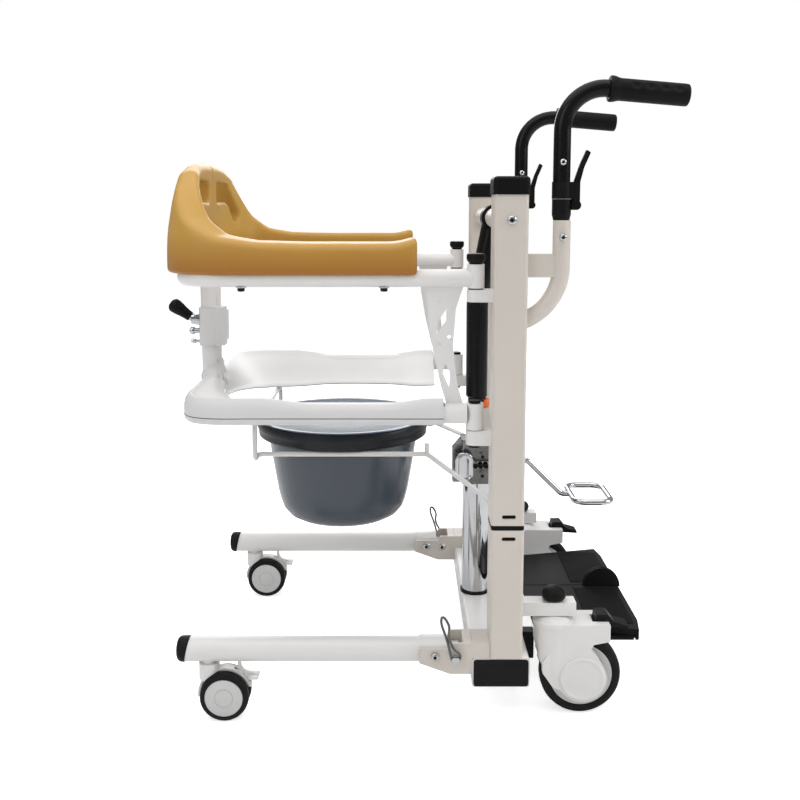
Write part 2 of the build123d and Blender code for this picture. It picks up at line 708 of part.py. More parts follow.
small_wheel_x = small_stem_x + small_trail
for side, name in SIDES:
    y = side * leg_y
    with BuildPart() as leg:
        rail((leg_end, sleeve_end), y, leg_z, leg_r)
        rail((leg_end, sleeve_x), y, leg_z, leg_r - leg_wall, mode=Mode.SUBTRACT)
        rail((sleeve_x, sleeve_end), y, leg_z, sleeve_r)
        tongue_y = (y - tongue_w / 2, y + tongue_w / 2)
        panel((sleeve_end - 4.0, tongue_end), tongue_y, tongue_z, 2.0)
        bar(y, pivot_at, pivot_r + run_gap, 60.0, mode=Mode.SUBTRACT)
        bar(y, pin_at, pin_r + part_gap, 60.0, mode=Mode.SUBTRACT)
        leg_foot_z = leg_z - leg_r
        post((small_stem_x, y), (small_house_z[1] + part_gap, leg_z - 12.0), 11.0)
        stem_z = (small_house_z[1] - 16.0, leg_z)
        post((small_stem_x, y), stem_z, small_stem_r)
        lathe(
            (leg_end, y, leg_z),
            (-1, 0, 0),
            (0, 0, 1),
            ((0, 0), (leg_r + 0.6, 0), (leg_r + 0.6, leg_cap_t), (0, leg_cap_t)),
            (((leg_r + 0.6, leg_cap_t), 8.0),),
        )
    save(leg, f"leg_{name}")

    with BuildPart() as leg_pin:
        tip_y = leg_y + tongue_w / 2 + lock_gap
        head_y = cheek_outer + 0.5
        bar(side * (tip_y + head_y + 4.0) / 2, pin_at, pin_r, head_y + 4.0 - tip_y)
        bar(side * (head_y + 6.0), pin_at, bolt_head_r, 12.0)
        ring_top = (53.0, 172.0)
        ring_path = (
            (pin_at[0], side * (head_y + 2.2), pin_at[1] + 2.0),
            (ring_top[0], side * (head_y + 2.2), ring_top[1]),
            (ring_top[0], side * (head_y + 10.0), ring_top[1]),
            (pin_at[0], side * (head_y + 10.0), pin_at[1] + 2.0),
        )
        pipe(ring_path, 3.5, 1.6)
    save(leg_pin, f"leg_pin_{name}")

    with BuildPart() as small_body:
        gap_half = small_over / 2 - small_wheel_w
        web_t = 2 * (gap_half - part_gap)
        post((small_stem_x, y), small_house_z, small_house_r)
        hood_out = small_r + 1.2 + hood_t
        bar(y, (small_wheel_x, small_r), hood_out, 15.0)
        panel((small_wheel_x - 60, small_wheel_x + 60), (y - 30, y + 30), (-10.0, small_r - 4.0), mode=Mode.SUBTRACT)
        slab(
            ((small_wheel_x + 30, 20.0), (small_wheel_x + 60, 20.0), (small_wheel_x + 60, 50.0), (small_wheel_x + 34, 50.0)),
            y,
            20.0,
            mode=Mode.SUBTRACT,
        )
        for end in (-1, 1):
            well_w = 30.0
            well_y = y + end * (web_t / 2 + well_w / 2)
            bar(well_y, (small_wheel_x, small_r), small_r + 1.2, well_w, mode=Mode.SUBTRACT)
        bar(y, (small_wheel_x, small_r), 11.0, web_t)
        bar(y, (small_wheel_x, small_r), small_axle_r, small_over - 3.0)
        slot_x0 = small_brake_at[0] - 9.0
        panel((slot_x0, small_wheel_x + 60), (y - small_brake_t / 2 - part_gap, y + small_brake_t / 2 + part_gap), (55.0, 90.0), mode=Mode.SUBTRACT)
        for end in (-1, 1):
            bar(y + end * (small_brake_t / 2 + part_gap + 2.0), small_brake_at, 5.0, 4.0)
        for end in (-1, 1):
            well_y = y + end * (web_t / 2 + 15.0)
            bar(well_y, (small_wheel_x, small_r), small_r + 1.2, 30.0, mode=Mode.SUBTRACT)
        bar(y, (small_wheel_x, small_r), small_axle_r, small_over - 3.0)
        bar(y, small_brake_at, 2.0, 14.0)
        post((small_stem_x, y), (stem_z[0] - part_gap, small_house_z[1]), small_stem_r + run_gap, mode=Mode.SUBTRACT)
    save(small_body, f"small_caster_body_{name}")

    with BuildPart() as small_brake:
        bx, bz = small_brake_at
        lever_shape = ((bx - 4, bz - 4), (bx + 4, bz - 5), (bx + 14, bz - 10), (bx + 29, bz - 8), (bx + 29, bz - 4), (bx + 10, bz + 1), (bx + 3, bz + 4), (bx + 1, bz + 17), (bx - 3, bz + 17), (bx - 4, bz + 4))
        slab(lever_shape, y, small_brake_t, 1.0)
        panel((bx + 14.0, bx + 29.0), (y - 10.0, y + 10.0), (bz - 9.5, bz - 4.0), 1.5)
        bar(y, small_brake_at, 2.0 + run_gap, 30.0, mode=Mode.SUBTRACT)
    save(small_brake, f"small_caster_brake_{name}")

    with BuildPart() as small_wheel:
        for end in (-1, 1):
            inner = gap_half
            outer = small_over / 2
            lathe(
                (small_wheel_x, y, small_r),
                (0, 1, 0),
                (1, 0, 0),
                ((small_axle_r + run_gap, end * inner), (small_r, end * inner), (small_r, end * outer), (small_axle_r + run_gap, end * outer)),
                (((small_r, end * outer), 5.0), ((small_r, end * inner), 2.0)),
            )
    save(small_wheel, f"small_caster_wheel_{name}")

# ---- five inch casters ------------------------------------------------

big_wheel_x = big_stem_x + big_trail
for side, name in SIDES:
    y = side * big_y
    with BuildPart() as big_body:
        body_shape = (
            (big_stem_x - 1, big_top),
            (big_stem_x - 1, 119.0),
            (209.0, 90.0),
            (209.0, 73.0),
            (225.0, 50.0),
            (250.0, 40.0),
            (290.0, 55.0),
            (302.0, 80.0),
            (297.0, 95.0),
            (284.0, 112.0),
            (288.0, 119.0),
            (313.0, 124.0),
            (313.0, big_top),
        )
        slab(body_shape, y, big_body_w)
        bar(y, (big_wheel_x, big_r), 38.0, big_body_w)
        lathe(
            (big_stem_x, y, 0),
            (0, 0, 1),
            (1, 0, 0),
            ((0, 104.0), (big_house_r - 4, 104.0), (big_house_r, 120.0), (big_house_r, big_top), (23.0, big_top + 6.0), (12.0, big_top + big_dome_h), (0, big_top + big_dome_h)),
        )
        bar(y, (big_wheel_x, big_r), big_well_r, big_well_w, mode=Mode.SUBTRACT)
        bar(y, (big_wheel_x, big_r), big_axle_r, big_body_w)
        slot_half = rocker_w / 2 + part_gap
        block((288.0, 320.0), (y - slot_half, y + slot_half), (138.0, big_top + 5), mode=Mode.SUBTRACT)
        bar(y, (rocker_at[0], rocker_at[1] - 4.0), rocker_pin_r, big_body_w - 8.0)
        post((big_stem_x, y), (big_top, arm_z[1] + 2.0), big_stem_r)
        post((big_stem_x, y), (arm_z[1] + 1.0, arm_z[1] + 5.0), big_stem_r + 3.0)
    save(big_body, f"big_caster_body_{name}")

    with BuildPart() as big_brake:
        rocker = ((291.5, 143.0), (309.0, 141.5), (318.0, 140.0), (344.0, 138.5), (344.0, 142.5), (322.0, 149.0), (312.0, 161.0), (294.0, 161.0))
        slab(rocker, y, rocker_w, 1.5)
        bar(y, (rocker_at[0], rocker_at[1] - 4.0), rocker_pin_r + run_gap, 60.0, mode=Mode.SUBTRACT)
    save(big_brake, f"big_caster_brake_{name}")

    with BuildPart() as big_wheel:
        lathe(
            (big_wheel_x, y, big_r),
            (0, 1, 0),
            (1, 0, 0),
            ((big_hub_r, -tyre_w / 2), (big_r, -tyre_w / 2), (big_r, tyre_w / 2), (big_hub_r, tyre_w / 2)),
            (((big_r, -tyre_w / 2), 11.0), ((big_r, tyre_w / 2), 11.0)),
        )
        hub_half = tyre_w / 2 - 2.0
        lathe(
            (big_wheel_x, y, big_r),
            (0, 1, 0),
            (1, 0, 0),
            ((big_axle_r + run_gap, -hub_half - 2), (14.0, -hub_half - 2), (14.0, -6.0), (big_hub_r - 5, -6.0), (big_hub_r - 5, -hub_half), (big_hub_r, -hub_half), (big_hub_r, hub_half), (big_hub_r - 5, hub_half), (big_hub_r - 5, 6.0), (14.0, 6.0), (14.0, hub_half + 2), (big_axle_r + run_gap, hub_half + 2)),
        )
    save(big_wheel, f"big_caster_wheel_{name}")

# ---- footplates -------------------------------------------------------

side = 1
with BuildPart() as footplate:
    with BuildSketch(Plane.XY.offset(plate_top - plate_t)):
        with BuildLine():
            Polyline(
                (plate_rear, side * plate_split),
                (plate_front, side * plate_split),
                (plate_front, side * 150.0),
                (plate_front - 6.0, side * 187.0),
                (233.0, side * 153.0),
                (plate_rear, side * 147.0),
                close=True,
            )
        make_face()
    extrude(amount=plate_t, dir=(0, 0, 1))
    y = side * plate_hinge_y
    for x in ((lug_front + 24.0, lug_front + 54.0), (plate_front - 60.0, plate_front - 10.0)):
        rail(x, y, plate_hinge_z, plate_barrel_r)
        block(x, (y - side * plate_barrel_r, y - side * 22.0), (plate_hinge_z - 3.0, plate_top - 4.0))
        block(x, (y - plate_barrel_r, y), (plate_hinge_z, plate_top - 4.0))
    rail((plate_rear, plate_front), y, plate_hinge_z, plate_rod_r + run_gap, mode=Mode.SUBTRACT)
    with BuildSketch(across(side * (plate_split + tab_t / 2))) as tab:
        with Locations((plate_front - tab_r, plate_top)):
            Circle(tab_r + 3.0)
        with Locations((plate_front - tab_r, plate_top - 50.0)):
            Rectangle(100.0, 100.0 - 2.0, mode=Mode.SUBTRACT)
    extrude(tab.sketch, amount=tab_t / 2, both=True)
save(footplate, "footplate_left")

with BuildPart() as footplate_right:
    mirror(footplate.part, about=Plane.XZ)
save(footplate_right, "footplate_right")

# ---- commode pan ------------------------------------------------------

rim_bottom = rail_z + wire_r + part_gap
with BuildPart() as commode_pan:
    lathe(
        (pan_x, 0, 0),
        (0, 0, 1),
        (1, 0, 0),
        (
            (0, pan_bottom),
            (pan_foot_r, pan_bottom),
            (pan_mid_r, pan_mid_z),
            (pan_r, pan_taper_z),
            (pan_r, rim_bottom),
            (rim_r, rim_bottom),
            (rim_r, rim_top),
            (rim_r - 6.0, rim_top),
            (rim_r - 6.0, rim_bottom + 4.0),
            (pan_r - pan_wall, rim_bottom + 4.0),
            (pan_r - pan_wall, pan_taper_z),
            (pan_mid_r - pan_wall, pan_mid_z),
            (pan_foot_r - pan_wall, pan_bottom + pan_wall),
            (0, pan_bottom + pan_wall),
        ),
        (
            ((pan_foot_r, pan_bottom), 20.0),
            ((pan_foot_r - pan_wall, pan_bottom + pan_wall), 17.0),
            ((pan_mid_r, pan_mid_z), 23.0),
            ((pan_mid_r - pan_wall, pan_mid_z), 20.0),
        ),
    )
    # carrying lugs at the front and rear of the rim
    for end in (-1, 1):
        lug_x = (pan_x + end * (rim_r - 3.0), pan_x + end * lug_half)
        block(lug_x, (-22.0, 22.0), (rim_top - 16.0, rim_top - 4.0), 3.0)
save(commode_pan, "commode_pan")

with BuildPart() as pan_lid:
    post((pan_x, 0), (rim_top + 0.3, rim_top + 0.3 + lid_t), rim_r - 1.0)
    post((pan_x, 0), (rim_top - 4.0, rim_top + 0.3), rim_r - 6.0 - 1.0)
    post((pan_x, 0), (rim_top - 5.0, rim_top - 1.0), rim_r - 11.0, mode=Mode.SUBTRACT)
save(pan_lid, "pan_lid")

# ---- seat halves ------------------------------------------------------

seat_rear_x = rear_x + 8.0
for side, name in SIDES:
    y = side * half_y
    d = side * drop_y
    arm_path = ((hinge_x - 6.0, y, arm_tube_z), (rear_x, y, arm_tube_z), (rear_x, d, arm_tube_z), (rear_x, d, seat_tube_z))
    arm_bends = (rear_bend, drop_bend)
    seat_path = ((hinge_x - 12.0, y, seat_tube_z), (seat_rear_x, y, seat_tube_z), (seat_rear_x, d - side * 8.0, seat_tube_z))
    with BuildPart() as seat_frame:
        pipe(arm_path, arm_bends, arm_tube_r, frame_wall)
        pipe(seat_path, rear_bend, seat_tube_r, frame_wall)
        post((hinge_x, y), upper_sleeve_z, hinge_r)
        post((hinge_x, y), lower_sleeve_z, hinge_r + 0.5)
        gusset = (
            (25.6, 680.0),
            (25.6, 674.0),
            (29.5, 624.5),
            (37.2, 577.6),
            (49.5, 522.6),
            (57.2, 498.0),
            (57.2, 492.0),
            (82.2, 492.0),
            (82.2, 499.6),
            (73.6, 528.8),
            (67.2, 586.7),
            (71.3, 641.0),
            (81.5, 674.0),
            (81.5, 680.0),
        )
        slab(gusset, y, gusset_t)
        slab(((57.1, 641.0), (45.2, 623.0), (42.3, 603.3), (56.5, 623.0)), y, 2 * gusset_t, mode=Mode.SUBTRACT)
        slab(((54.6, 560.8), (52.4, 544.1), (61.6, 522.6), (62.9, 544.1)), y, 2 * gusset_t, mode=Mode.SUBTRACT)
        for at in ((45.1, 651.5), (61.1, 598.8), (46.2, 588.2)):
            bar(y, at, 2.6, 2 * gusset_t, mode=Mode.SUBTRACT)
        for z in (upper_sleeve_z, lower_sleeve_z):
            post((hinge_x, y), z, hinge_pin_r + run_gap, mode=Mode.SUBTRACT)
        if name == "left":
            catch_z = (560.0, 612.0)
            post((rear_x, d), catch_z, arm_tube_r + 3.5)
            block((rear_x, rear_x + 26.0), (half_gap, d + 6.0), catch_z, 2.0)
            post((rear_x, d), catch_z, arm_tube_r - frame_wall, mode=Mode.SUBTRACT)
    save(seat_frame, f"seat_frame_{name}")

    with BuildPart() as arm_back:
        with BuildSketch(Plane.XY.offset(pad_bottom)) as pad_plan:
            with BuildLine():
                Line((pad_front, side * pad_side), (-230.0, side * pad_side))
                Spline(
                    (-230.0, side * pad_side),
                    (back_rear, side * 130.0),
                    tangents=((-1, 0), (0, -side)),
                )
                Line((back_rear, side * 130.0), (back_rear, side * half_gap))
                Line((back_rear, side * half_gap), (back_inner, side * half_gap))
                Spline(
                    (back_inner, side * half_gap),
                    (back_inner + 1.0, side * 60.0),
                    (-330.5, side * 130.0),
                    (-319.0, side * 183.0),
                    (-302.0, side * 211.0),
                    (-262.0, side * pad_inner),
                    tangents=((0, side), (1, 0)),
                )
                Line((-262.0, side * pad_inner), (pad_front, side * pad_inner))
                Line((pad_front, side * pad_inner), (pad_front, side * pad_side))
            make_face()
        extrude(pad_plan.sketch, amount=back_top - pad_bottom, dir=(0, 0, 1))
        # height of the backrest across the hoist
        bell = (
            (0, 690.0),
            (270.0, 690.0),
            (270.0, arm_top),
            (226.0, 772.0),
            (205.0, 797.0),
            (183.0, 823.0),
            (160.0, 839.0),
            (130.0, 852.0),
            (100.0, 859.5),
            (60.0, 863.0),
            (0, 863.0),
        )
        with BuildSketch(Plane.YZ.offset(-400.0)) as bell_face:
            with BuildLine():
                Polyline(*[(side * v, z) for v, z in bell], close=True)
            make_face()
        extrude(bell_face.sketch, amount=440.0, dir=(1, 0, 0), mode=Mode.INTERSECT)
        # height of the arm along the hoist, where it climbs into the backrest
        climb = (
            (20.0, 690.0),
            (20.0, arm_top + 8.0),
            (8.0, arm_top + 8.0),
            (-4.0, arm_top),
            (-205.0, arm_top),
            (-240.0, 745.0),
            (-265.0, 752.0),
            (-284.0, 763.0),
            (-300.0, 782.0),
            (-314.0, 810.0),
            (-326.0, 840.0),
            (-333.0, back_top),
            (-400.0, back_top),
            (-400.0, 690.0),
        )
        with BuildSketch(Plane.XZ) as climb_face:
            with BuildLine():
                Polyline(*climb, close=True)
            make_face()
        extrude(climb_face.sketch, amount=pad_side + 5.0, dir=(0, side, 0), mode=Mode.INTERSECT)
        hand = (
            (30.0, 800.0),
            (29.0, 835.0),
            (128.0, 835.0),
            (150.0, 817.0),
            (186.0, 782.0),
            (184.0, 769.0),
            (166.0, 763.0),
            (152.0, 771.0),
            (128.0, 797.0),
            (99.0, 801.0),
        )
        with BuildSketch(Plane.YZ.offset(-400.0)) as hand_face:
            with BuildLine():
                Polyline(*[(side * v, z) for v, z in hand], close=True)
            make_face()
        extrude(hand_face.sketch, amount=120.0, dir=(1, 0, 0), mode=Mode.SUBTRACT)
        pipe(arm_path, arm_bends, arm_tube_r + fit_gap, mode=Mode.SUBTRACT)
    save(arm_back, f"arm_back_{name}")

# the loop above ends on the left side, so its paths are the left half's
with BuildPart() as seat_panel:
    side_shape = ((263.0, 477.0), (263.0, 491.0), (259.0, 501.0), (250.0, 506.7), (240.0, 506.7), (229.0, 502.5), (108.0, 460.0), (108.0, 455.0), (227.0, 497.0), (227.0, 477.0))
    with BuildSketch(Plane.YZ.offset(seat_rear)) as shell:
        with BuildLine():
            Polyline(*[(side * v, z) for v, z in side_shape], close=True)
        make_face()
    extrude(shell.sketch, amount=seat_front - seat_rear, dir=(1, 0, 0))
    rear_shape = ((seat_rear, 477.0), (seat_rear, 492.0), (-348.0, 502.0), (-341.0, 506.7), (-331.0, 506.7), (-320.0, 502.5), (-292.0, 462.0), (-292.0, 456.0), (-317.0, 492.0), (-317.0, 477.0))
    slab(rear_shape, side * (seat_side + 4.0) / 2, seat_side - 4.0)
    lathe(
        (rear_x, d, 0),
        (0, 0, 1),
        (1, 0, 0),
        ((0, 484.0), (10.0, 484.0), (17.0, 506.0), (15.5, 536.0), (0, 536.0)),
    )
    with BuildSketch(Plane.XY.offset(450.0)) as plan:
        with BuildLine():
            Polyline(
                (seat_front, side * seat_side),
                (seat_rear, side * seat_side),
                (seat_rear - 8.0, side * 40.0),
                (seat_rear - 8.0, side * 4.0),
                (-318.0, side * 4.0),
                (-288.0, side * 40.0),
                (-276.0, side * 108.0),
                (-200.0, side * 118.0),
                (-150.0, side * 148.0),
                (-30.0, side * 148.0),
                (10.0, side * 118.0),
                (seat_front, side * 112.0),
                close=True,
            )
        make_face()
        fillet(plan.vertices().sort_by_distance((seat_rear, side * seat_side, 0))[0], 62.0)
    extrude(plan.sketch, amount=100.0, dir=(0, 0, 1), mode=Mode.INTERSECT)
    pipe(seat_path, rear_bend, seat_tube_r + fit_gap, mode=Mode.SUBTRACT)
    post((rear_x, d), (seat_tube_z, 560.0), arm_tube_r + fit_gap, mode=Mode.SUBTRACT)
save(seat_panel, "seat_panel_left")

with BuildPart() as seat_panel_right:
    mirror(seat_panel.part, about=Plane.XZ)
save(seat_panel_right, "seat_panel_right")

latch_at = (-364.0, 600.0)
d = -drop_y
with BuildPart() as latch_housing:
    house_z = (555.0, 621.0)
    post((rear_x, d), house_z, arm_tube_r + 3.5)
    block((rear_x, rear_x + 28.0), (d - 10.0, -half_gap), house_z, 2.0)
    for end in (-1, 1):
        slab(((-370.0, 594.0), (-370.0, 606.0), (rear_x, 612.0), (rear_x, 588.0)), d + end * 6.5, 4.0)
    rail((-372.0, rear_x), d, 580.0, 4.0)
    rail((-368.0, rear_x), d, 562.0, 2.5)
    post((rear_x, d), house_z, arm_tube_r + fit_gap, mode=Mode.SUBTRACT)
    bar(d, latch_at, 2.5, 17.0)
save(latch_housing, "latch_housing")

with BuildPart() as latch_lever:
    slab(((-361.0, 597.0), (-361.0, 604.0), (-374.0, 613.0), (-381.0, 604.0), (-372.0, 597.0)), d, 8.0)
    lean = Vector(-0.809, 0, 0.588)
    lathe(
        (-374.0, d, 604.5),
        (lean.X, 0, lean.Z),
        (lean.Z, 0, -lean.X),
        ((0, 0), (10.5, 0), (11.5, 5.0), (15.5, 22.0), (15.5, 30.0), (10.0, 38.5), (0, 40.0)),
    )
    bar(d, latch_at, 2.5 + run_gap, 30.0, mode=Mode.SUBTRACT)
    for end in (-1, 1):
        slab(((-376.0, 588.0), (-376.0, 606.6), (-372.0, 613.0), (-350.0, 613.0), (-350.0, 588.0)), d + end * 7.1, 6.0, mode=Mode.SUBTRACT)
save(latch_lever, "latch_lever")

# ---- folding push handles ---------------------------------------------

block_bottom = socket_top + part_gap
for side, name in SIDES:
    y = side * half_y
    grip_axis = Vector(1, 0, -grip_drop).normalized()
    tube_end = grip_end - 4.5
    with BuildPart() as push_handle:
        handle_path = (
            (handle_x, y, handle_block_top),
            (handle_x, y, grip_line_z),
            (tube_end, y, grip_line_z - grip_drop * (tube_end - handle_x)),
        )
        pipe(handle_path, handle_bend, handle_r, 2.0)
    save(push_handle, f"push_handle_{name}")

    with BuildPart() as knuckle:
        post((handle_x, y), (block_bottom, handle_block_top), socket_r)
        post((handle_x, y), (handle_block_top, handle_block_top + 40.0), handle_r - 2.0 - fit_gap)
        cheek_out = fold_ear_t / 2 + 5.3
        panel((handle_x, fold_at[0] + 5.0), (y - cheek_out, y + cheek_out), (block_bottom, handle_block_top))
        for end in (-1, 1):
            cheek_mid = y + end * (fold_ear_t / 2 + part_gap + 2.5)
            bar(cheek_mid, fold_at, fold_ear_r, 5.0)
            panel((fold_at[0] - 5.0, fold_at[0] + 5.0), (cheek_mid - 2.5, cheek_mid + 2.5), (fold_at[1], block_bottom + 1.0))
        bar(y, fold_at, fold_pin_r + run_gap, 60.0, mode=Mode.SUBTRACT)
        slot = lever_t / 2 + part_gap
        block((239.6, 260.0), (y - slot, y + slot), (806.5, handle_block_top + 1), mode=Mode.SUBTRACT)
        bar(y, lever_at, 2.0, 2 * cheek_out)
    save(knuckle, f"handle_knuckle_{name}")

    with BuildPart() as release_lever:
        lever_shape = ((243.0, 811.0), (250.0, 811.0), (252.5, 828.0), (258.0, 850.0), (267.5, 872.0), (261.0, 876.0), (251.0, 853.0), (243.0, 829.0))
        slab(lever_shape, y, lever_t, 1.5)
        bar(y, lever_at, 2.0 + run_gap, 20.0, mode=Mode.SUBTRACT)
    save(release_lever, f"release_lever_{name}")

    with BuildPart() as handle_grip:
        start = (grip_start, y, grip_line_z - grip_drop * (grip_start - handle_x))
        grip_len = (grip_end - grip_start) / grip_axis.X
        bore = handle_r + fit_gap
        lathe(
            start,
            (grip_axis.X, 0, grip_axis.Z),
            (-grip_axis.Z, 0, grip_axis.X),
            ((bore, 0), (19.5, 0), (19.5, 5.0), (grip_r, 8.0), (grip_r, grip_len), (0, grip_len), (0, grip_len - 3.5), (bore, grip_len - 3.5)),
            (((grip_r, grip_len), 3.0),),
        )
    save(handle_grip, f"handle_grip_{name}")
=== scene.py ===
# %% [markdown]
# # A patient lift hoist
# The hoist is welded tube and sheet steel under an off-white powder coat. Its soft
# shapes are moulded plastic and foam. The engineered parts are already solid
# geometry, so they are loaded as they are, and Blender adds the mouldings, the
# finishes, the light and the camera. Everything is in metres, with +X towards
# the push handles, +Y to the left and +Z up.

import json
from math import acos, copysign, cos, dist, hypot, pi, radians, sin, sqrt

import bmesh
import bpy
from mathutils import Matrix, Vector


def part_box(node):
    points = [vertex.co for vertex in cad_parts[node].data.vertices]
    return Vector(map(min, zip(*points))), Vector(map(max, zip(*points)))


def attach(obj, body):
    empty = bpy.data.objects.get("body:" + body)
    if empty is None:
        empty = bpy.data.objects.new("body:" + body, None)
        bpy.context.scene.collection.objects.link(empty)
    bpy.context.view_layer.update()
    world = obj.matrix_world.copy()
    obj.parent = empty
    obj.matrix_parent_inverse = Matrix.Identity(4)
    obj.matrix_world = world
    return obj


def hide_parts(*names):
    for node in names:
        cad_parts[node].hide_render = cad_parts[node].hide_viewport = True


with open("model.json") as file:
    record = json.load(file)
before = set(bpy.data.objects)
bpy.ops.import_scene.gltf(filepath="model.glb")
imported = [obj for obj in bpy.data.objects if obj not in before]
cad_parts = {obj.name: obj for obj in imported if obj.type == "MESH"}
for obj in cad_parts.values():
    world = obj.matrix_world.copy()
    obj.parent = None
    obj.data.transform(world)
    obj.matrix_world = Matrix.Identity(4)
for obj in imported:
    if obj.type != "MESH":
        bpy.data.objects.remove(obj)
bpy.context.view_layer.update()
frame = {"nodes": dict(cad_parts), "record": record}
nodes = frame["nodes"]
SIDES = (("right", -1), ("left", 1))


def in_scene(obj):
    """Adds an object to the scene."""
    bpy.context.scene.collection.objects.link(obj)
    return obj


# %% [markdown]
# ## Camera
# The hoist is seen from its right side, a little above handle height and close
# enough that the far leg looks clearly shorter than the near one. A camera 1.7 m
# away with a 44 mm lens gives that. A small downward shift keeps the columns
# nearly parallel while the whole hoist stays in view.

# %% Camera
camera_data = bpy.data.cameras.new("camera")
camera_data.lens = 44.1
camera_data.sensor_width = 36.0
camera_data.shift_y = -0.1
camera = in_scene(bpy.data.objects.new("camera", camera_data))
camera.location = (-0.0124, -1.701, 0.796)
LOOK_DOWN = 6.72
camera.rotation_euler = (radians(90.0 - LOOK_DOWN), 0.0, 0.0)
bpy.context.scene.camera = camera
print("camera at", tuple(round(v, 3) for v in camera.location))

# %% [markdown]
# ## Small tools for materials
# A material is a tree of nodes. These tools add a node, set or link what goes into
# it, and cover the few sums that several of the trees below share.

# %% Node tools


def feed(tree, node, inputs):
    """Sets a node's inputs: a socket is linked, anything else is a plain value."""
    for label, value in inputs.items():
        if isinstance(value, bpy.types.NodeSocket):
            tree.links.new(value, node.inputs[label])
        else:
            node.inputs[label].default_value = value
    return node


def add_node(tree, kind, inputs={}):
    """New shader node with its inputs fed."""
    return feed(tree, tree.nodes.new("ShaderNode" + kind), inputs)


def span(tree, value, low, high, to_low, to_high):
    """Maps a value from one range to another, clamped."""
    ends = {"From Min": low, "From Max": high, "To Min": to_low, "To Max": to_high}
    return add_node(tree, "MapRange", {"Value": value, **ends}).outputs["Result"]


def height_of(tree, place):
    """Z of a place in space."""
    return add_node(tree, "SeparateXYZ", {0: place}).outputs["Z"]


def product(tree, first, second):
    """One value times another."""
    node = add_node(tree, "Math", {0: first, 1: second})
    node.operation = "MULTIPLY"
    return node.outputs[0]


def seen_directly(tree):
    """1 for what the camera sees directly, and 0 for all other light."""
    return add_node(tree, "LightPath").outputs["Is Camera Ray"]


print("tools ready")

# %% [markdown]
# ## Studio
# White paint shows its shape only if the light comes from large soft sources and
# one side is a little weaker than the other. Four area lamps do that, and the
# floor and the world look white only to the camera, so they don't wash out the
# paint.

# %% Floor, world and lamps
world = bpy.data.worlds.new("studio")
bpy.context.scene.world = world
world.use_nodes = True
sky_tree = world.node_tree
sky_height = height_of(sky_tree, add_node(sky_tree, "TexCoord").outputs["Generated"])
sky_strength = span(sky_tree, sky_height, -0.1, 0.9, 0.20, 0.62)
sky_light = {"Color": (0.95, 0.96, 1.0, 1.0), "Strength": sky_strength}
sky = feed(sky_tree, sky_tree.nodes["Background"], sky_light)
backdrop = add_node(sky_tree, "Background", {"Color": (1.0, 1.0, 1.0, 1.0)})
sky_choice = {0: seen_directly(sky_tree), 1: sky.outputs[0], 2: backdrop.outputs[0]}
sky_mix = add_node(sky_tree, "MixShader", sky_choice)
feed(sky_tree, sky_tree.nodes["World Output"], {"Surface": sky_mix.outputs[0]})


def lamp(name, location, target, size, power):
    """Square white area lamp that faces a point."""
    data = bpy.data.lights.new(name, "AREA")
    data.size = size
    data.energy = power
    obj = in_scene(bpy.data.objects.new(name, data))
    obj.location = location
    aim = Vector(target) - Vector(location)
    obj.rotation_euler = aim.to_track_quat("-Z", "Y").to_euler()


lamp("top_lamp", (-0.3, -0.3, 3.2), (0, 0, 0.4), 3.4, 58.0)
lamp("key_lamp", (-3.2, -3.8, 2.6), (0, 0, 0.4), 2.6, 46.0)
lamp("side_lamp", (3.2, -0.8, 2.0), (0.1, 0, 0.5), 1.8, 48.0)
lamp("back_lamp", (-0.4, 3.4, 2.2), (0, 0, 0.5), 2.2, 50.0)

bpy.ops.mesh.primitive_plane_add(size=14.0, location=(0, 0, 0))
floor = bpy.context.object
floor.name = "floor"
FLOOR_GLOW = 0.62
floor_paint = bpy.data.materials.new("pale_floor")
floor_paint.use_nodes = True
floor.data.materials.append(floor_paint)
floor_tree = floor_paint.node_tree
pale = {"Base Color": (0.9, 0.9, 0.9, 1.0), "Roughness": 0.8, "Specular IOR Level": 0.1}
floor_shader = feed(floor_tree, floor_tree.nodes["Principled BSDF"], pale)
glow_power = product(floor_tree, seen_directly(floor_tree), FLOOR_GLOW)
glow = add_node(floor_tree, "Emission", {"Strength": glow_power})
both = add_node(floor_tree, "AddShader", {0: floor_shader.outputs[0], 1: glow.outputs[0]})
feed(floor_tree, floor_tree.nodes["Material Output"], {"Surface": both.outputs[0]})
bpy.context.scene.view_settings.view_transform = "Standard"

# %% [markdown]
# ## Shared surface effects
# Powder coat has a fine orange-peel texture, mouldings have a finer grain, and
# every handled surface collects faint scuffs. One node group makes the grain
# height and a slow tone change, and another makes the scuffs. Each material
# places them with its own numbers.

# %% Node groups for grain and scuffs


def new_group(name, inputs, outputs):
    """Shader node group with named float inputs and outputs."""
    group = bpy.data.node_groups.new(name, "ShaderNodeTree")
    for way, labels in (("INPUT", inputs), ("OUTPUT", outputs)):
        for label in labels:
            group.interface.new_socket(name=label, in_out=way, socket_type="NodeSocketFloat")
    entry = group.nodes.new("NodeGroupInput")
    leave = group.nodes.new("NodeGroupOutput")
    return group, entry, leave, add_node(group, "TexCoord").outputs["Object"]


def noise(tree, place, scale, detail, stretch=None):
    """Noise texture at a place; scale may be a number or a socket."""
    if stretch:
        place = add_node(tree, "Mapping", {"Vector": place, "Scale": stretch}).outputs["Vector"]
    inputs = {"Vector": place, "Scale": scale, "Detail": detail}
    return add_node(tree, "TexNoise", inputs).outputs["Fac"]


grain, grain_in, grain_out, at = new_group(
    "moulded_grain", ("Grain Size", "Tone Size"), ("Height", "Tone")
)
fine = noise(grain, at, grain_in.outputs["Grain Size"], 2.0)
slow = noise(grain, at, grain_in.outputs["Tone Size"], 4.0)
feed(grain, grain_out, {"Height": fine, "Tone": span(grain, slow, 0.35, 0.65, 0.0, 1.0)})

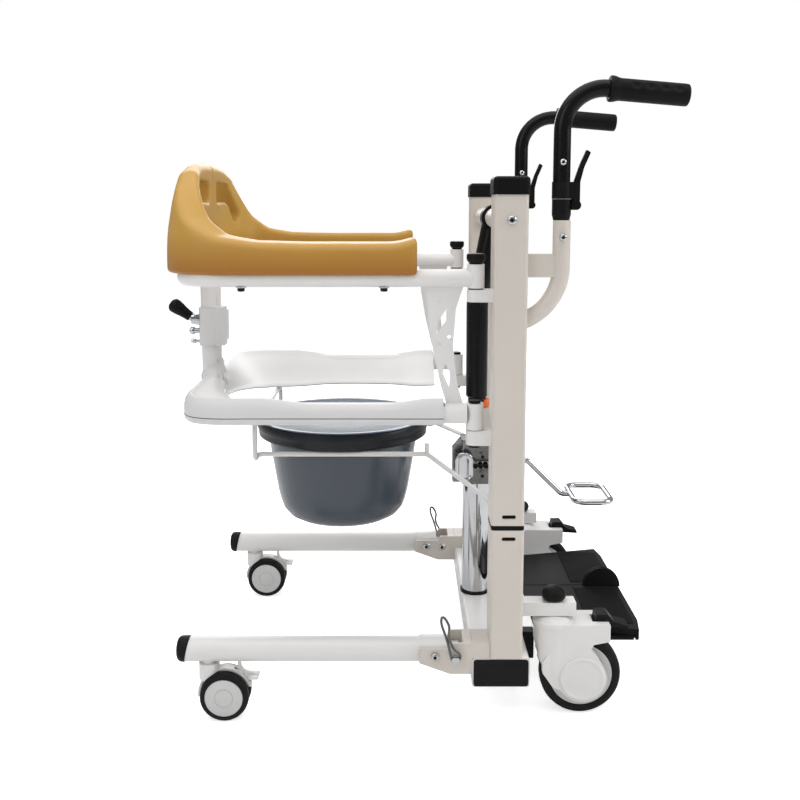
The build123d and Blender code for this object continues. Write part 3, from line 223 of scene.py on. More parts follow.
scuffs, scuff_in, scuff_out, at = new_group("handling_scuffs", ("Scuff Size",), ("Mask", "Dust"))
streaks = noise(scuffs, at, scuff_in.outputs["Scuff Size"], 6.0, (1.0, 1.0, 4.0))
near_floor = span(scuffs, height_of(scuffs, at), 0.0, 0.22, 1.0, 0.0)
dusty = product(scuffs, near_floor, noise(scuffs, at, 25.0, 5.0))
feed(scuffs, scuff_out, {"Mask": span(scuffs, streaks, 0.56, 0.72, 0.0, 1.0), "Dust": dusty})
print("groups:", [g.name for g in bpy.data.node_groups])

# %% [markdown]
# ## Finishes
# Each finish on the hoist is one material: its colour with a slow variation, a
# roughness that changes where hands and floors wear it, and a bump at the grain's
# real size. Numbers that don't change over the surface, such as the coat's weight,
# are set on the shader's own sockets.

# %% Build the finishes
finishes = {}
DUST = (0.42, 0.40, 0.37)


def place_group(tree, group, inputs):
    """Places a node group with its inputs fed."""
    node = tree.nodes.new("ShaderNodeGroup")
    node.node_tree = group
    return feed(tree, node, inputs)


def mix_colours(tree, factor, first, second):
    """Mixes two colours; each may be a colour or a socket."""
    node = tree.nodes.new("ShaderNodeMix")
    node.data_type = "RGBA"
    first, second = ((*c, 1.0) if isinstance(c, tuple) else c for c in (first, second))
    return feed(tree, node, {0: factor, 6: first, 7: second}).outputs[2]


def finish(name, colour, shade, rough, metal=0.0, bumps=(900.0, 0.00002, 0.25), tone_size=9.0,
           scuff_size=60.0, dust=0.25, deep=None, deep_from=None, gloss=0.5, coat=(0.0, 0.03)):
    """One finish: colour with tone, scuffs in the roughness, grain in the bump.

    rough is (clean, worn), bumps is the grain's (size, depth, strength), coat is
    (weight, roughness), and deep is a deeper colour below the heights in deep_from,
    partly the material's own tone and partly painted shade on its lower sides.
    """
    material = bpy.data.materials.new(name)
    material.use_nodes = True
    tree = material.node_tree
    shader = tree.nodes["Principled BSDF"]
    grain_node = place_group(tree, grain, {"Grain Size": bumps[0], "Tone Size": tone_size})
    scuff_node = place_group(tree, scuffs, {"Scuff Size": scuff_size})
    toned = mix_colours(tree, grain_node.outputs["Tone"], colour, shade)
    # Below the deep_from heights the colour turns deeper: partly real tone, partly painted shade.
    if deep:
        height = height_of(tree, add_node(tree, "TexCoord").outputs["Object"])
        toned = mix_colours(tree, span(tree, height, *deep_from, 0.0, 1.0), deep, toned)
    dusted = span(tree, scuff_node.outputs["Dust"], 0.0, 1.0, 0.0, dust)
    grain_height = grain_node.outputs["Height"]
    bump_inputs = {"Height": grain_height, "Distance": bumps[1], "Strength": bumps[2]}
    feed(tree, shader, {
        "Base Color": mix_colours(tree, dusted, toned, DUST),
        "Roughness": span(tree, scuff_node.outputs["Mask"], 0.0, 1.0, *rough),
        "Normal": add_node(tree, "Bump", bump_inputs).outputs["Normal"],
        "Metallic": metal,
        "Specular IOR Level": gloss,
        "Coat Weight": coat[0],
        "Coat Roughness": coat[1],
    })
    finishes[name] = material


BLACK = ((0.006, 0.006, 0.006), (0.009, 0.009, 0.009))
COAT_BUMPS = (700.0, 0.00006, 0.3)
# The columns, supports, cross shaft and leg brackets wear the frame's white powder coat; this
# darker, warmer copy of it is painted shade for their flat faces.
finish("shaded_column_coat", (0.635, 0.585, 0.52), (0.61, 0.56, 0.495), (0.38, 0.42), bumps=COAT_BUMPS,
       scuff_size=16.0, dust=0.12, coat=(0.1, 0.25))
finish("powder_coat", (0.765, 0.75, 0.725), (0.74, 0.725, 0.70), (0.36, 0.40), bumps=COAT_BUMPS,
       scuff_size=16.0, dust=0.1, coat=(0.15, 0.25))
finish("white_moulding", (0.67, 0.665, 0.655), (0.66, 0.655, 0.645), (0.40, 0.40),
       bumps=(1500.0, 0.00002, 0.25), scuff_size=14.0, dust=0.06, gloss=0.35)
# The skin turns a deeper brown towards the bottom: partly its own tone, partly painted shade where
# the lower sides get less light.
finish("tan_skin", (0.56, 0.325, 0.068), (0.52, 0.296, 0.060), (0.40, 0.44),
       bumps=(1100.0, 0.00008, 0.35), tone_size=5.0, dust=0.02, deep=(0.37, 0.155, 0.024),
       deep_from=(0.698, 0.752), gloss=0.28, coat=(0.05, 0.2))
finish("black_moulding", *BLACK, (0.42, 0.55), bumps=(1300.0, 0.00007, 0.5), dust=0.03, gloss=0.09)
finish("grip_rubber", *BLACK, (0.5, 0.62), bumps=(1600.0, 0.0001, 0.6), dust=0.03, gloss=0.1)
finish("chrome_plate", (0.56, 0.565, 0.57), (0.50, 0.505, 0.51), (0.07, 0.14), metal=1.0,
       bumps=(300.0, 0.00001, 0.1), dust=0.1)
finish("zinc_steel", (0.50, 0.50, 0.50), (0.42, 0.42, 0.42), (0.26, 0.4), metal=1.0,
       bumps=(400.0, 0.00003, 0.25))
finish("dark_wire", (0.17, 0.18, 0.175), (0.11, 0.115, 0.11), (0.22, 0.3), metal=1.0,
       bumps=(400.0, 0.00003, 0.25))
finish("drawn_alloy", (0.62, 0.63, 0.64), (0.56, 0.57, 0.58), (0.28, 0.38), metal=1.0,
       bumps=(300.0, 0.00003, 0.25))
finish("cast_head", (0.30, 0.30, 0.295), (0.22, 0.22, 0.215), (0.24, 0.34), metal=0.9,
       bumps=(260.0, 0.00005, 0.2))
finish("orange_moulding", (0.78, 0.16, 0.02), (0.70, 0.13, 0.02), (0.32, 0.42))
finish("pan_moulding", (0.050, 0.063, 0.080), (0.047, 0.060, 0.076), (0.26, 0.27),
       bumps=(1500.0, 0.00002, 0.25), dust=0.03, coat=(0.2, 0.15))
finish("lid_moulding", (0.12, 0.155, 0.205), (0.10, 0.135, 0.185), (0.28, 0.38),
       bumps=(1500.0, 0.00002, 0.25), coat=(0.2, 0.15))
finish("pan_edge", (0.010, 0.012, 0.014), (0.014, 0.016, 0.019), (0.38, 0.5), dust=0.1, gloss=0.25)
finish("rolling_tread", BLACK[0], (0.010, 0.010, 0.010), (0.5, 0.65), bumps=(500.0, 0.0002, 0.5),
       dust=0.04, gloss=0.08)
finish("hub_moulding", (0.62, 0.615, 0.60), (0.58, 0.575, 0.56), (0.36, 0.5), dust=0.15)
finish("caster_shell", (0.75, 0.74, 0.72), (0.71, 0.70, 0.68), (0.3, 0.4), dust=0.12)
finish("black_coat", (0.004, 0.004, 0.004), BLACK[0], (0.22, 0.30), bumps=(800.0, 0.00004, 0.2),
       dust=0.02, gloss=0.16)
finish("plate_rubber", *BLACK, (0.5, 0.52), bumps=(1300.0, 0.00004, 0.3), dust=0.03, gloss=0.08)
finish("seam_shadow", (0.10, 0.098, 0.095), (0.08, 0.078, 0.076), (0.7, 0.8), dust=0.1, gloss=0.1)
print("finishes:", len(finishes))

# %% [markdown]
# ## Finishes on the engineered parts
# The frame, tubes, bolts and hinges keep their engineered shape. Each gets its
# finish by the record's material slot, so one list covers them all.

# %% Put the finishes on the engineered parts
slot_finish = {
    "white_paint": "powder_coat",
    "white_plastic": "white_moulding",
    "tan_pad": "tan_skin",
    "black_plastic": "black_moulding",
    "black_rubber": "grip_rubber",
    "chrome": "chrome_plate",
    "mast_alloy": "drawn_alloy",
    "orange_clip": "orange_moulding",
    "grey_plastic": "pan_moulding",
    "lid_grey": "lid_moulding",
    "tyre_dark": "rolling_tread",
    "caster_grey": "caster_shell",
    "push_black": "black_coat",
    "head_grey": "cast_head",
}
node_slot = {s["node"]: s["material_slot"] for s in frame["record"]["subparts"]}
for name, obj in nodes.items():
    obj.data.materials.clear()
    obj.data.materials.append(finishes[slot_finish[node_slot[name]]])
# These parts get the darker copy of the powder coat, which is painted shade.
for name in ("upper_columns", "lower_columns", "handle_supports", "cross_shaft", "leg_brackets"):
    nodes[name].data.materials[0] = finishes["shaded_column_coat"]
for label, _ in SIDES:
    nodes[f"footplate_{label}"].data.materials[0] = finishes["plate_rubber"]
print("dressed parts:", len(nodes))

# %% [markdown]
# ## Helpers for the moulded pieces
# Most mouldings on the hoist are rings of points along a path, joined ring by
# ring, or a profile turned round an axis. A few small makers cover both, and seat
# names a piece's body and hides the part it stands for.

# %% Mesh makers
MM = 0.001


def shade_smooth(mesh, smooth=True):
    """Sets smooth or flat shading on every face."""
    for polygon in mesh.polygons:
        polygon.use_smooth = smooth


def add_mesh(name, points, faces, finish_name, smooth=True):
    """New mesh object from points in millimetres."""
    mesh = bpy.data.meshes.new(name)
    mesh.from_pydata([Vector(p) * MM for p in points], [], faces)
    mesh.update()
    cleaner = bmesh.new()
    cleaner.from_mesh(mesh)
    bmesh.ops.recalc_face_normals(cleaner, faces=cleaner.faces)
    cleaner.to_mesh(mesh)
    cleaner.free()
    mesh.materials.append(finishes[finish_name])
    shade_smooth(mesh, smooth)
    return in_scene(bpy.data.objects.new(name, mesh))


def loft(name, rings, finish_name, closed=True, caps=True, loop=False):
    """Joins rings of points; closed rings wrap round, loop joins last to first."""
    count = len(rings[0])
    points = [p for ring in rings for p in ring]
    faces = []
    spans = len(rings) if loop else len(rings) - 1
    for i in range(spans):
        a, b = i * count, ((i + 1) % len(rings)) * count
        for j in range(count if closed else count - 1):
            k = (j + 1) % count
            faces.append((a + j, a + k, b + k, b + j))
    if caps and not loop:
        faces.append(tuple(range(count)))
        faces.append(tuple(range(len(points) - count, len(points))))
    return add_mesh(name, points, faces, finish_name)


def circle(count):
    """Cosine and sine of even turns round a circle."""
    turns = [2 * pi * i / count for i in range(count)]
    return [(cos(a), sin(a)) for a in turns]


def turned(name, profile, centre, axis, finish_name, steps):
    """Turns a (radius, along) profile in millimetres round an axis."""
    axis = Vector(axis).normalized()
    out = axis.orthogonal().normalized()
    up = axis.cross(out)
    rings = []
    for c, s in circle(steps):
        way = out * c + up * s
        rings.append([Vector(centre) + way * max(r, 0.001) + axis * h for r, h in profile])
    return loft(name, rings, finish_name, closed=False, loop=True)


def made_mesh(obj):
    """Mesh of an object as its modifiers or its curve make it."""
    bpy.context.view_layer.update()
    graph = bpy.context.evaluated_depsgraph_get()
    return bpy.data.meshes.new_from_object(obj.evaluated_get(graph))


def modified(obj, kind, **settings):
    """Gives an object one modifier and keeps the result as its mesh."""
    mod = obj.modifiers.new(kind, kind)
    for name, value in settings.items():
        setattr(mod, name, value)
    mesh = made_mesh(obj)
    obj.modifiers.clear()
    obj.data = mesh
    return obj


def edge_shade(obj, angle):
    """Smooth shading with edges sharper than an angle left crisp."""
    work = bmesh.new()
    work.from_mesh(obj.data)
    for edge in work.edges:
        edge.smooth = len(edge.link_faces) < 2 or edge.calc_face_angle(0) < radians(angle)
    work.to_mesh(obj.data)
    work.free()
    return obj


def seat(obj, body, slot_name, *stands_for):
    """Says which body a piece rides on and hides the parts it stands for; slot_name is not used."""
    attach(obj, body)
    if stands_for:
        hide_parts(*stands_for)


def spun(name, profile, centre, axis, finish_name, steps, body, slot_name, *stands_for, crisp=0):
    """Piece turned from a closed profile, with its edges and body set."""
    obj = turned(name, [*profile, profile[0]], centre, axis, finish_name, steps)
    if crisp:
        edge_shade(obj, crisp)
    seat(obj, body, slot_name, *stands_for)


def flipped(profile, way):
    """Profile whose second number runs the other way where way is -1."""
    return [(r, way * h) for r, h in profile]


def squircle(count, power):
    """Points round a circle that is swollen towards its square."""
    return [[copysign(abs(v) ** power, v) for v in pair] for pair in circle(count)]


def box_mm(node):
    """Middle and half sizes of a part's box, in millimetres."""
    low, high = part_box(node)
    pairs = list(zip(low, high))
    return [(a + b) * 500.0 for a, b in pairs], [(b - a) * 500.0 for a, b in pairs]


def between(value, table):
    """Straight-line reading of a table of (key, value) pairs."""
    for (a, va), (b, vb) in zip(table, table[1:]):
        if value <= b:
            return va + (vb - va) * max(0.0, (value - a) / (b - a))
    return table[-1][1]


X_WAY, Y_WAY, UP = (1, 0, 0), (0, 1, 0), (0, 0, 1)
print("one unit is", MM, "m")

# %% [markdown]
# ## Arm and back pads
# The two tan pads are foam with a tough skin, moulded over the arm tubes. Each one
# is an arm that turns a corner into half of the backrest, and its top climbs round
# the corner to the split in the middle. The pad is a row of wall sections set
# along its plan, from the front end round to the split. Its hand hole is cut out,
# and the whole form is remeshed and smoothed, which rounds every edge as foam does.

# %% Pad sections along the plan
pad_outer = ((13, 266), (-70, 266), (-150, 266), (-225, 266), (-290, 262.5), (-339, 243),
             (-367, 203), (-377, 155), (-380, 100), (-380, 50), (-380, 1.2))
pad_inner = ((13, 222), (-70, 222), (-150, 222), (-222, 222), (-265, 221), (-296, 213),
             (-315, 191), (-327, 150), (-332, 100), (-333, 50), (-334, 1.2))
pad_tops = ((0, 741.5), (2, 741.5), (3, 743.5), (4, 752), (5, 777), (6, 813), (7, 849), (8, 861.5),
            (9, 864), (10, 864.6))
pad_leans = ((0, 4.0), (3, 4.0), (4, 14.0), (5, 25.0), (6, 26.0), (7, 21.0), (8, 19.0), (10, 19.0))
PAD_FLOOR = 692.0
LEAN_FROM, LEAN_RISE, LEAN_POWER = 712.0, 135.0, 2.1
TOP_EDGE, INNER_EDGE, LOW_EDGE = 14.0, 11.0, 5.0


def along(points, count):
    """Even samples of a smooth curve through points, by the points' own numbering."""
    last = len(points) - 1
    out = []
    for i in range(count):
        t = i * last / (count - 1)
        k = min(int(t), last - 1)
        f = t - k
        p = [Vector((*points[max(0, min(last, k + d))], 0)) for d in (-1, 0, 1, 2)]
        a = 2 * p[1]
        b = p[2] - p[0]
        c = 2 * p[0] - 5 * p[1] + 4 * p[2] - p[3]
        d = 3 * p[1] - p[0] - 3 * p[2] + p[3]
        q = 0.5 * (a + b * f + c * f * f + d * f * f * f)
        out.append((q.x, q.y))
    return out


def quarter(radius, flip):
    """Points of a rounded corner as (inset from the wall, drop from the top)."""
    turns = [radians(90.0 * i / 6) for i in range(7)]
    out = [(radius * (1 - cos(a)), radius * (1 - sin(a))) for a in turns]
    return out[::-1] if flip else out


def pad_section(outer, inner, top, most, inset):
    """Ring of points round the pad's wall at one station of its plan.

    The outer wall leans in by up to about most, and inset shrinks the ring's box.
    """
    wide = dist(outer, inner)
    way = ((inner[0] - outer[0]) / wide, (inner[1] - outer[1]) / wide)

    def lean(z):
        """How far the outer wall has come in at a height."""
        return most * max(0.0, (z - LEAN_FROM) / LEAN_RISE) ** LEAN_POWER

    ring = [(s, PAD_FLOOR + drop) for s, drop in quarter(LOW_EDGE, True)]
    for f in (0.15, 0.3, 0.45, 0.6, 0.75, 0.9):
        z = PAD_FLOOR + 6.0 + (top - 17.0 - PAD_FLOOR - 6.0) * f
        ring.append((lean(z), z))
    ring += [(lean(top - 16.0) + s, top - 2.0 - drop) for s, drop in quarter(TOP_EDGE, False)]
    ring += [(wide - s, top - drop) for s, drop in quarter(INNER_EDGE, True)]
    for f in (0.85, 0.6, 0.35, 0.15):
        ring.append((wide, PAD_FLOOR + 6.0 + (top - 14.0 - PAD_FLOOR - 6.0) * f))
    ring += [(wide - s, PAD_FLOOR + drop) for s, drop in quarter(LOW_EDGE, False)]
    out = []
    for s, z in ring:
        s = min(max(s, inset), wide - inset)
        z = min(max(z, PAD_FLOOR + 0.4 * inset), top - inset)
        out.append((outer[0] + way[0] * s, outer[1] + way[1] * s, z))
    return out


print("pad height at the split:", pad_tops[-1][1], "and at the arm:", pad_tops[0][1])

# %% [markdown]
# The hand hole is a bent slot, level beside the split and dropping round the
# corner, that lets a carer hold the back. It is a boolean cut, because a hole with
# soft edges then falls out of the remesh.

# %% Build the two pads
hand_hole = ((30, 801), (28.5, 818), (30, 834), (60, 835.5), (100, 835.5), (128, 834), (146, 820),
             (166, 802), (183, 785), (187, 776), (182, 767), (170, 763), (160, 766), (148, 776),
             (136, 789), (124, 797), (108, 800.5), (80, 800), (50, 799.5))
FRONT = (13.0, 12.6, 11.5, 10.0, 8.0, 5.5, 3.0)
STATIONS, LIP_RISE, FRONT_ROUND, FOAM_VOXEL = 84, 7.5, 9.0, 2.6
for label, side in SIDES:
    outers = along(pad_outer, STATIONS)
    inners = along(pad_inner, STATIONS)
    outers[:1] = [(x, 266.0) for x in FRONT]
    inners[:1] = [(x, 222.0) for x in FRONT]
    rings = []
    for i, (outer, inner) in enumerate(zip(outers, inners)):
        at = max(0, i - 6) * (len(pad_outer) - 1) / (STATIONS - 1)
        lip = LIP_RISE * min(1.0, max(0.0, (outer[0] + 26.0) / 34.0)) ** 1.6
        front = max(0.0, outer[0] - 3.0) / 10.0
        inset = FRONT_ROUND * (1 - sqrt(max(0.0, 1 - front * front)))
        top = between(at, pad_tops) + lip
        section = pad_section(outer, inner, top, between(at, pad_leans), inset)
        rings.append([(x, side * y, z) for x, y, z in section])
    pad = loft(f"arm_pad_{label}", rings, "tan_skin")
    rings = [[(x, side * y, z) for y, z in hand_hole] for x in (-420.0, -255.0)]
    slot = loft("hand_hole", rings, "tan_skin")
    modified(pad, "BOOLEAN", operation="DIFFERENCE", solver="EXACT", object=slot)
    bpy.data.objects.remove(slot)
    modified(pad, "REMESH", mode="VOXEL", voxel_size=FOAM_VOXEL * MM)
    modified(pad, "SMOOTH", factor=0.6, iterations=8)
    shade_smooth(pad.data)
    seat(pad, f"seat_half_{label}", "tan_pad", f"arm_back_{label}")
    print(pad.name, "points:", len(pad.data.vertices))

# %% [markdown]
# ## Seat halves
# Each white seat half is one shell that wraps the seat tube. It has a fat rounded
# rim outside, a parting line halfway down, and a shallow slope in towards the
# open middle. It is lofted across: one row of points per station along the rim,
# from the skirt over the crest and down to the inner lip and back underneath. The
# parting line is a thin dark strip, painted shadow under the skirt's overhang.

# %% Seat shell
rim_plan = ((53, 250), (0, 250), (-60, 250), (-120, 250), (-180, 250), (-235, 250), (-288, 250),
            (-323, 236), (-339, 202), (-340, 150), (-340, 100), (-340, 50), (-340, 3.0))
lip_plan = ((53, 113), (12, 118), (-28, 143), (-88, 150), (-148, 146), (-200, 122), (-238, 113),
            (-254, 108), (-264, 100), (-276, 88), (-290, 66), (-304, 36), (-314, 3.0))
lip_height = ((-400, 474), (-300, 466), (-262, 460), (-150, 459), (-30, 459), (60, 463))
SHELL_ROWS = 60
CREST, CREST_DIP = 506.5, 9.0
# The slope starts this far in and this far below the crest, above and below
SLOPE_IN, TOP_DROP, UNDER_DROP = 16.0, 5.9, 10.1
# A thin dark strip along the bottom of the skirt: painted shadow under the skirt's overhang, drawn
# as the parting line.
seam_shadow_shape = ((-12.4, 477.9), (-12.4, 476.1), (-9.0, 476.1), (-9.0, 477.9))
under_shape = ((-12.9, 476.6), (-12.9, 473.6), (-11.6, 469.8), (-8.0, 466.9), (-2.0, 465.7),
               (3.0, 466.2), (7.4, 468.4), (9.6, 472.0), (10.2, 476.6), (6.0, 476.9), (-6.0, 476.9))


def shell_row(rim, lip, side):
    """Points across the shell, from the skirt over the rim to the inner lip and back."""
    across = Vector((lip[0] - rim[0], lip[1] - rim[1]))
    wide = across.length
    across.normalize()
    deep = between(lip[0], lip_height)
    dip = 0.0
    if abs(rim[1]) > 240:
        dip = CREST_DIP * max(0.0, min(1.0, (rim[0] + 215.0) / 70.0, (25.0 - rim[0]) / 60.0))
    crest = CREST - dip
    shape = [(-12.3, 477.5), (-13.0, 484.0), (-12.6, 491.0 - dip * 0.2), (-9.6, 499.6 - dip * 0.7),
             (-4.0, crest - 1.1), (2.0, crest), (8.0, crest - 1.3), (14.0, crest - 4.6)]
    run = max(wide - SLOPE_IN, 1.0) - 6.0
    for f in (0.12, 0.3, 0.5, 0.7, 0.86, 0.95):
        ease = f * f * (3 - 2 * f)
        sag = 0.75 * f + 0.25 * ease
        drop = (crest - TOP_DROP - deep) * sag
        shape.append((SLOPE_IN + run * f, crest - TOP_DROP - drop))
    shape += [(wide - 3.0, deep - 0.6), (wide - 0.4, deep - 2.6), (wide - 1.4, deep - 4.8),
              (wide - 5.0, deep - 5.2)]
    for f in (0.9, 0.6, 0.3, 0.05):
        drop = (crest - UNDER_DROP - deep + 4.6) * f
        shape.append((SLOPE_IN + run * f, crest - UNDER_DROP - drop))
    shape += [(11.5, crest - 12.5), (10.6, 486.0), (10.4, 477.5)]
    return [(rim[0] + across.x * s, side * (rim[1] + across.y * s), z) for s, z in shape]


# The seam strip is painted shadow; the under strip is white moulding.
strips = (("seat_seam", seam_shadow_shape, "seam_shadow"), ("seat_under", under_shape, "white_moulding"))
rims = along(rim_plan, SHELL_ROWS)
lips = along(lip_plan, SHELL_ROWS)
for label, side in SIDES:
    rows = [shell_row(rim, lip, side) for rim, lip in zip(rims, lips)]
    shell = loft(f"seat_shell_{label}", rows, "white_moulding")
    edge_shade(shell, 50)
    seat(shell, f"seat_half_{label}", "white_plastic", f"seat_panel_{label}")
    for name, shape, finish_name in strips:
        rows = []
        for rim, lip in zip(rims, lips):
            way = (Vector(lip) - Vector(rim)).normalized()
            rows.append([(rim[0] + way.x * s, side * (rim[1] + way.y * s), z) for s, z in shape])
        strip = loft(f"{name}_{label}", rows, finish_name)
        edge_shade(strip, 50)
        seat(strip, f"seat_half_{label}", "white_plastic")
    print(shell.name, "points:", len(shell.data.vertices))

# %% [markdown]
# The fairing round the drop tube starts as a ring that fits the tube and spreads
# out sideways as it comes down onto the rim.

# %% Fairing at the drop tube
DROP_X, DROP_Y = -339.5, 22.5
fairing_rings = ((524, 13.25, 22.5, 13.25), (519, 13.5, 22.5, 13.5), (514, 14.1, 22.6, 14.4),
                 (510, 15.1, 23.4, 16.6), (507, 16.2, 25.0, 21.0), (503, 17.0, 28.0, 27.0),
                 (497, 14.5, 30, 29.0))
for label, side in SIDES:
    rings = []
    for z, half_x, mid, half_y in fairing_rings:
        ring = []
        for c, s in circle(40):
            y = max(2.6, mid + half_y * s)
            ring.append((DROP_X + half_x * c, side * y, z))
        rings.append(ring)
    top = [(DROP_X + (x - DROP_X) * 0.92, side * DROP_Y + (y - side * DROP_Y) * 0.92, 524.6)
           for x, y, _ in rings[0]]
    fairing = loft(f"tube_fairing_{label}", [top] + rings, "white_moulding", caps=False)
    modified(fairing, "SUBSURF", levels=1, render_levels=1)
    seat(fairing, f"seat_half_{label}", "white_plastic")
    print(fairing.name, "points:", len(fairing.data.vertices))

# %% [markdown]
# ## Commode pan and lid
# The pan is a blown bucket of blue-grey plastic. It tapers to a rounded foot and
# ends in a wide dark rim with two carrying lugs. It is turned from one closed
# profile, so its wall has a real thickness. The lid sits in the rim.

# %% Pan, rim and lid
pan_mid = (box_mm("commode_pan")[0][0], 0.0, 0.0)
bucket = ((0, 247.2), (58, 247.2), (59, 246.2), (64, 246.2), (66, 247.6), (84, 251), (97, 258),
          (106, 269), (111, 283), (115, 300), (121, 336), (126, 366), (129.4, 388), (129.8, 396),
          (127, 396), (126.6, 388), (123.2, 366), (118, 336), (112, 300), (108, 284), (103, 271),
          (95, 261), (83, 254), (62, 250.4), (0, 250.2))
pan = turned("pan_bucket", bucket, pan_mid, UP, "pan_moulding", 96)
seat(edge_shade(pan, 40), "pan", "grey_plastic", "commode_pan")
rim = ((127.2, 396), (131, 395.9), (144, 396.4), (147, 398.5), (147.6, 402), (147.6, 409),
       (149.4, 411), (150, 414), (149.6, 422), (148, 424.6), (145.4, 424.8), (144, 423.6),
       (144, 411), (142.4, 405.5), (138, 402.6), (127.2, 400.4))
spun("pan_rim", rim, pan_mid, UP, "pan_edge", 96, "pan", "grey_plastic", crisp=50)
lug_rings = ((146.0, 27, 410.5, 424.0), (152.0, 27, 410.0, 424.0), (158.0, 25, 410.2, 422.4),
             (161.0, 21, 411.6, 420.4), (161.9, 16, 413.4, 418.4))
for label, side in SIDES:
    rings = []
    for out, half, low, high in lug_rings:
        mid, rise = (low + high) / 2, (high - low) / 2
        x = pan_mid[0] + side * out
        rings.append([(x, u * half, mid + v * rise) for u, v in squircle(24, 0.6)])
    lug = loft(f"pan_lug_{label}", rings, "pan_edge")
    seat(modified(lug, "SUBSURF", levels=1, render_levels=1), "pan", "grey_plastic")
lid_profile = ((0, 423.0), (138.2, 421.2), (142.8, 421.4), (143, 425.4), (148.2, 425.5),
               (149, 426.4), (148.6, 427.6), (146, 428.2), (138, 427.4), (130, 425.6), (60, 425.2),
               (0, 425.0))
lid = turned("pan_cover", lid_profile, pan_mid, UP, "lid_moulding", 96)
seat(edge_shade(lid, 40), "lid", "lid_grey", "pan_lid")
print("pan centre:", [round(v, 1) for v in pan_mid])

# %% [markdown]
# ## Small casters
# A medical caster has two thin wheels on one axle. Each wheel is a pale hub disc
# with a moulded ring round its centre and a soft black tread with rounded
# shoulders. Both are turned from profiles, because every part of them is round.

# %% Small caster wheels
SMALL_R = 38.0
# Profiles as (radius, distance in from the wheel's outer face)
small_tread = ((29.6, 1.2), (31.0, 0.2), (33.5, 0), (35.8, 1.2), (37.4, 3.6), (SMALL_R, 7.0),
               (SMALL_R, 12.5), (37.2, 16.2), (35.0, 18.3), (29.6, 18.4))
small_hub = ((4.1, 18.0), (29.5, 18.0), (29.5, 1.3), (28.9, 0.7), (27.6, 0.5), (15.0, 0.7),
             (14.4, 1.5), (13.6, 1.5), (13.0, 0.6), (6.0, 0.3), (0, 0.3), (0, 3.0), (4.1, 3.0))
for label, side in SIDES:
    centre, (_, half, _) = box_mm(f"small_caster_wheel_{label}")
    for end in (-1, 1):
        tag, body = f"{label}_{'outer' if end == side else 'inner'}", f"small_wheels_{label}"
        tread = [(r, end * (half - d)) for r, d in small_tread]
        hub = [(r, end * (half - d)) for r, d in small_hub]
        spun(f"small_tread_{tag}", tread, centre, Y_WAY, "rolling_tread", 72, body, "tyre_dark",
             f"small_caster_wheel_{label}", crisp=50)
        spun(f"small_hub_{tag}", hub, centre, Y_WAY, "hub_moulding", 72, body, "caster_grey",
             crisp=30)
    print("small caster", label, "centre:", [round(v, 1) for v in centre], "half:", round(half, 1))

# %% [markdown]
# ## Five inch casters
# The big caster's wheel is hidden behind its shell, apart from the tread. The
# tread has rounded shoulders, and the shell carries a round cover over the axle
# and a lipped cap on its swivel housing. These are thin turned pieces that lie on
# the engineered shell.

# %% Big tread, axle cover and housing lip
STEM_X, STEM_Y = 228.5, 224.0
# One half of each profile as (radius, distance in from the wheel's face)
big_tread = ((49.0, 1.6), (52.0, 0.4), (56.0, 0), (59.5, 1.0), (62.0, 3.6), (63.2, 7.5))
big_hub = ((6.1, 2.5), (40.0, 2.5), (49.0, 1.7))
axle_cover = ((0, -1.0), (35.0, -1.0), (35.0, 0.2), (34.4, 0.9), (33.0, 1.5), (31.4, 1.6),
              (30.4, 1.0), (24.0, 1.2), (0, 1.6))
housing_lip = ((29.5, 142.0), (31.3, 142.4), (31.8, 143.4), (31.8, 150.2), (31.2, 151.2),
               (29.5, 151.6))
for label, side in SIDES:
    centre, (_, half, radius) = box_mm(f"big_caster_wheel_{label}")
    tread = [(r, half - d) for r, d in big_tread + ((radius, 12.0),)]
    tread += flipped(tread[::-1], -1)
    hub = [(r, half - d) for r, d in big_hub]
    hub += flipped(hub[::-1], -1)
    spun(f"big_tread_{label}", tread, centre, Y_WAY, "rolling_tread", 96, f"big_wheel_{label}",
         "tyre_dark", f"big_caster_wheel_{label}", crisp=50)
    spun(f"big_hub_{label}", hub, centre, Y_WAY, "hub_moulding", 96, f"big_wheel_{label}",
         "caster_grey", crisp=30)
    shell_low, shell_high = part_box(f"big_caster_body_{label}")
    for end, place in ((-1, "a"), (1, "b")):
        face = (shell_high[1] if end > 0 else -shell_low[1]) * 1000.0
        cover = [(r, end * (face + h)) for r, h in axle_cover]
        spun(f"axle_cover_{label}_{place}", cover, (centre[0], 0, centre[2]), Y_WAY,
             "caster_shell", 72, f"big_caster_{label}", "caster_grey", crisp=40)
    spun(f"housing_lip_{label}", housing_lip, (STEM_X, side * STEM_Y, 0), UP, "caster_shell", 72,
         f"big_caster_{label}", "caster_grey", crisp=50)
print("big tread radius:", round(radius, 1))

# %% [markdown]
# ## Caps on the caster arms
# Each caster arm carries a soft round cap over the caster's stem, squashed a
# little, as a rubber knob is.

# %% Bumper knobs
quarters = [radians(a) for a in range(-90, 91, 6)]
knob = [(19.6 * cos(a), 190.0 + 13.2 * sin(a)) for a in quarters]
for label, side in SIDES:
    spun(f"bumper_knob_{label}", knob, (STEM_X, side * STEM_Y, 0), UP, "black_moulding", 64,
         "base", "black_plastic")
print("knob height:", round(knob[-1][1], 1))

# %% [markdown]
# ## Caster housings
# The swivel housing runs down past the tread as a round skirt on both sides of
# the wheel. Its rear lower corner is cut on a slant where the tread comes out.

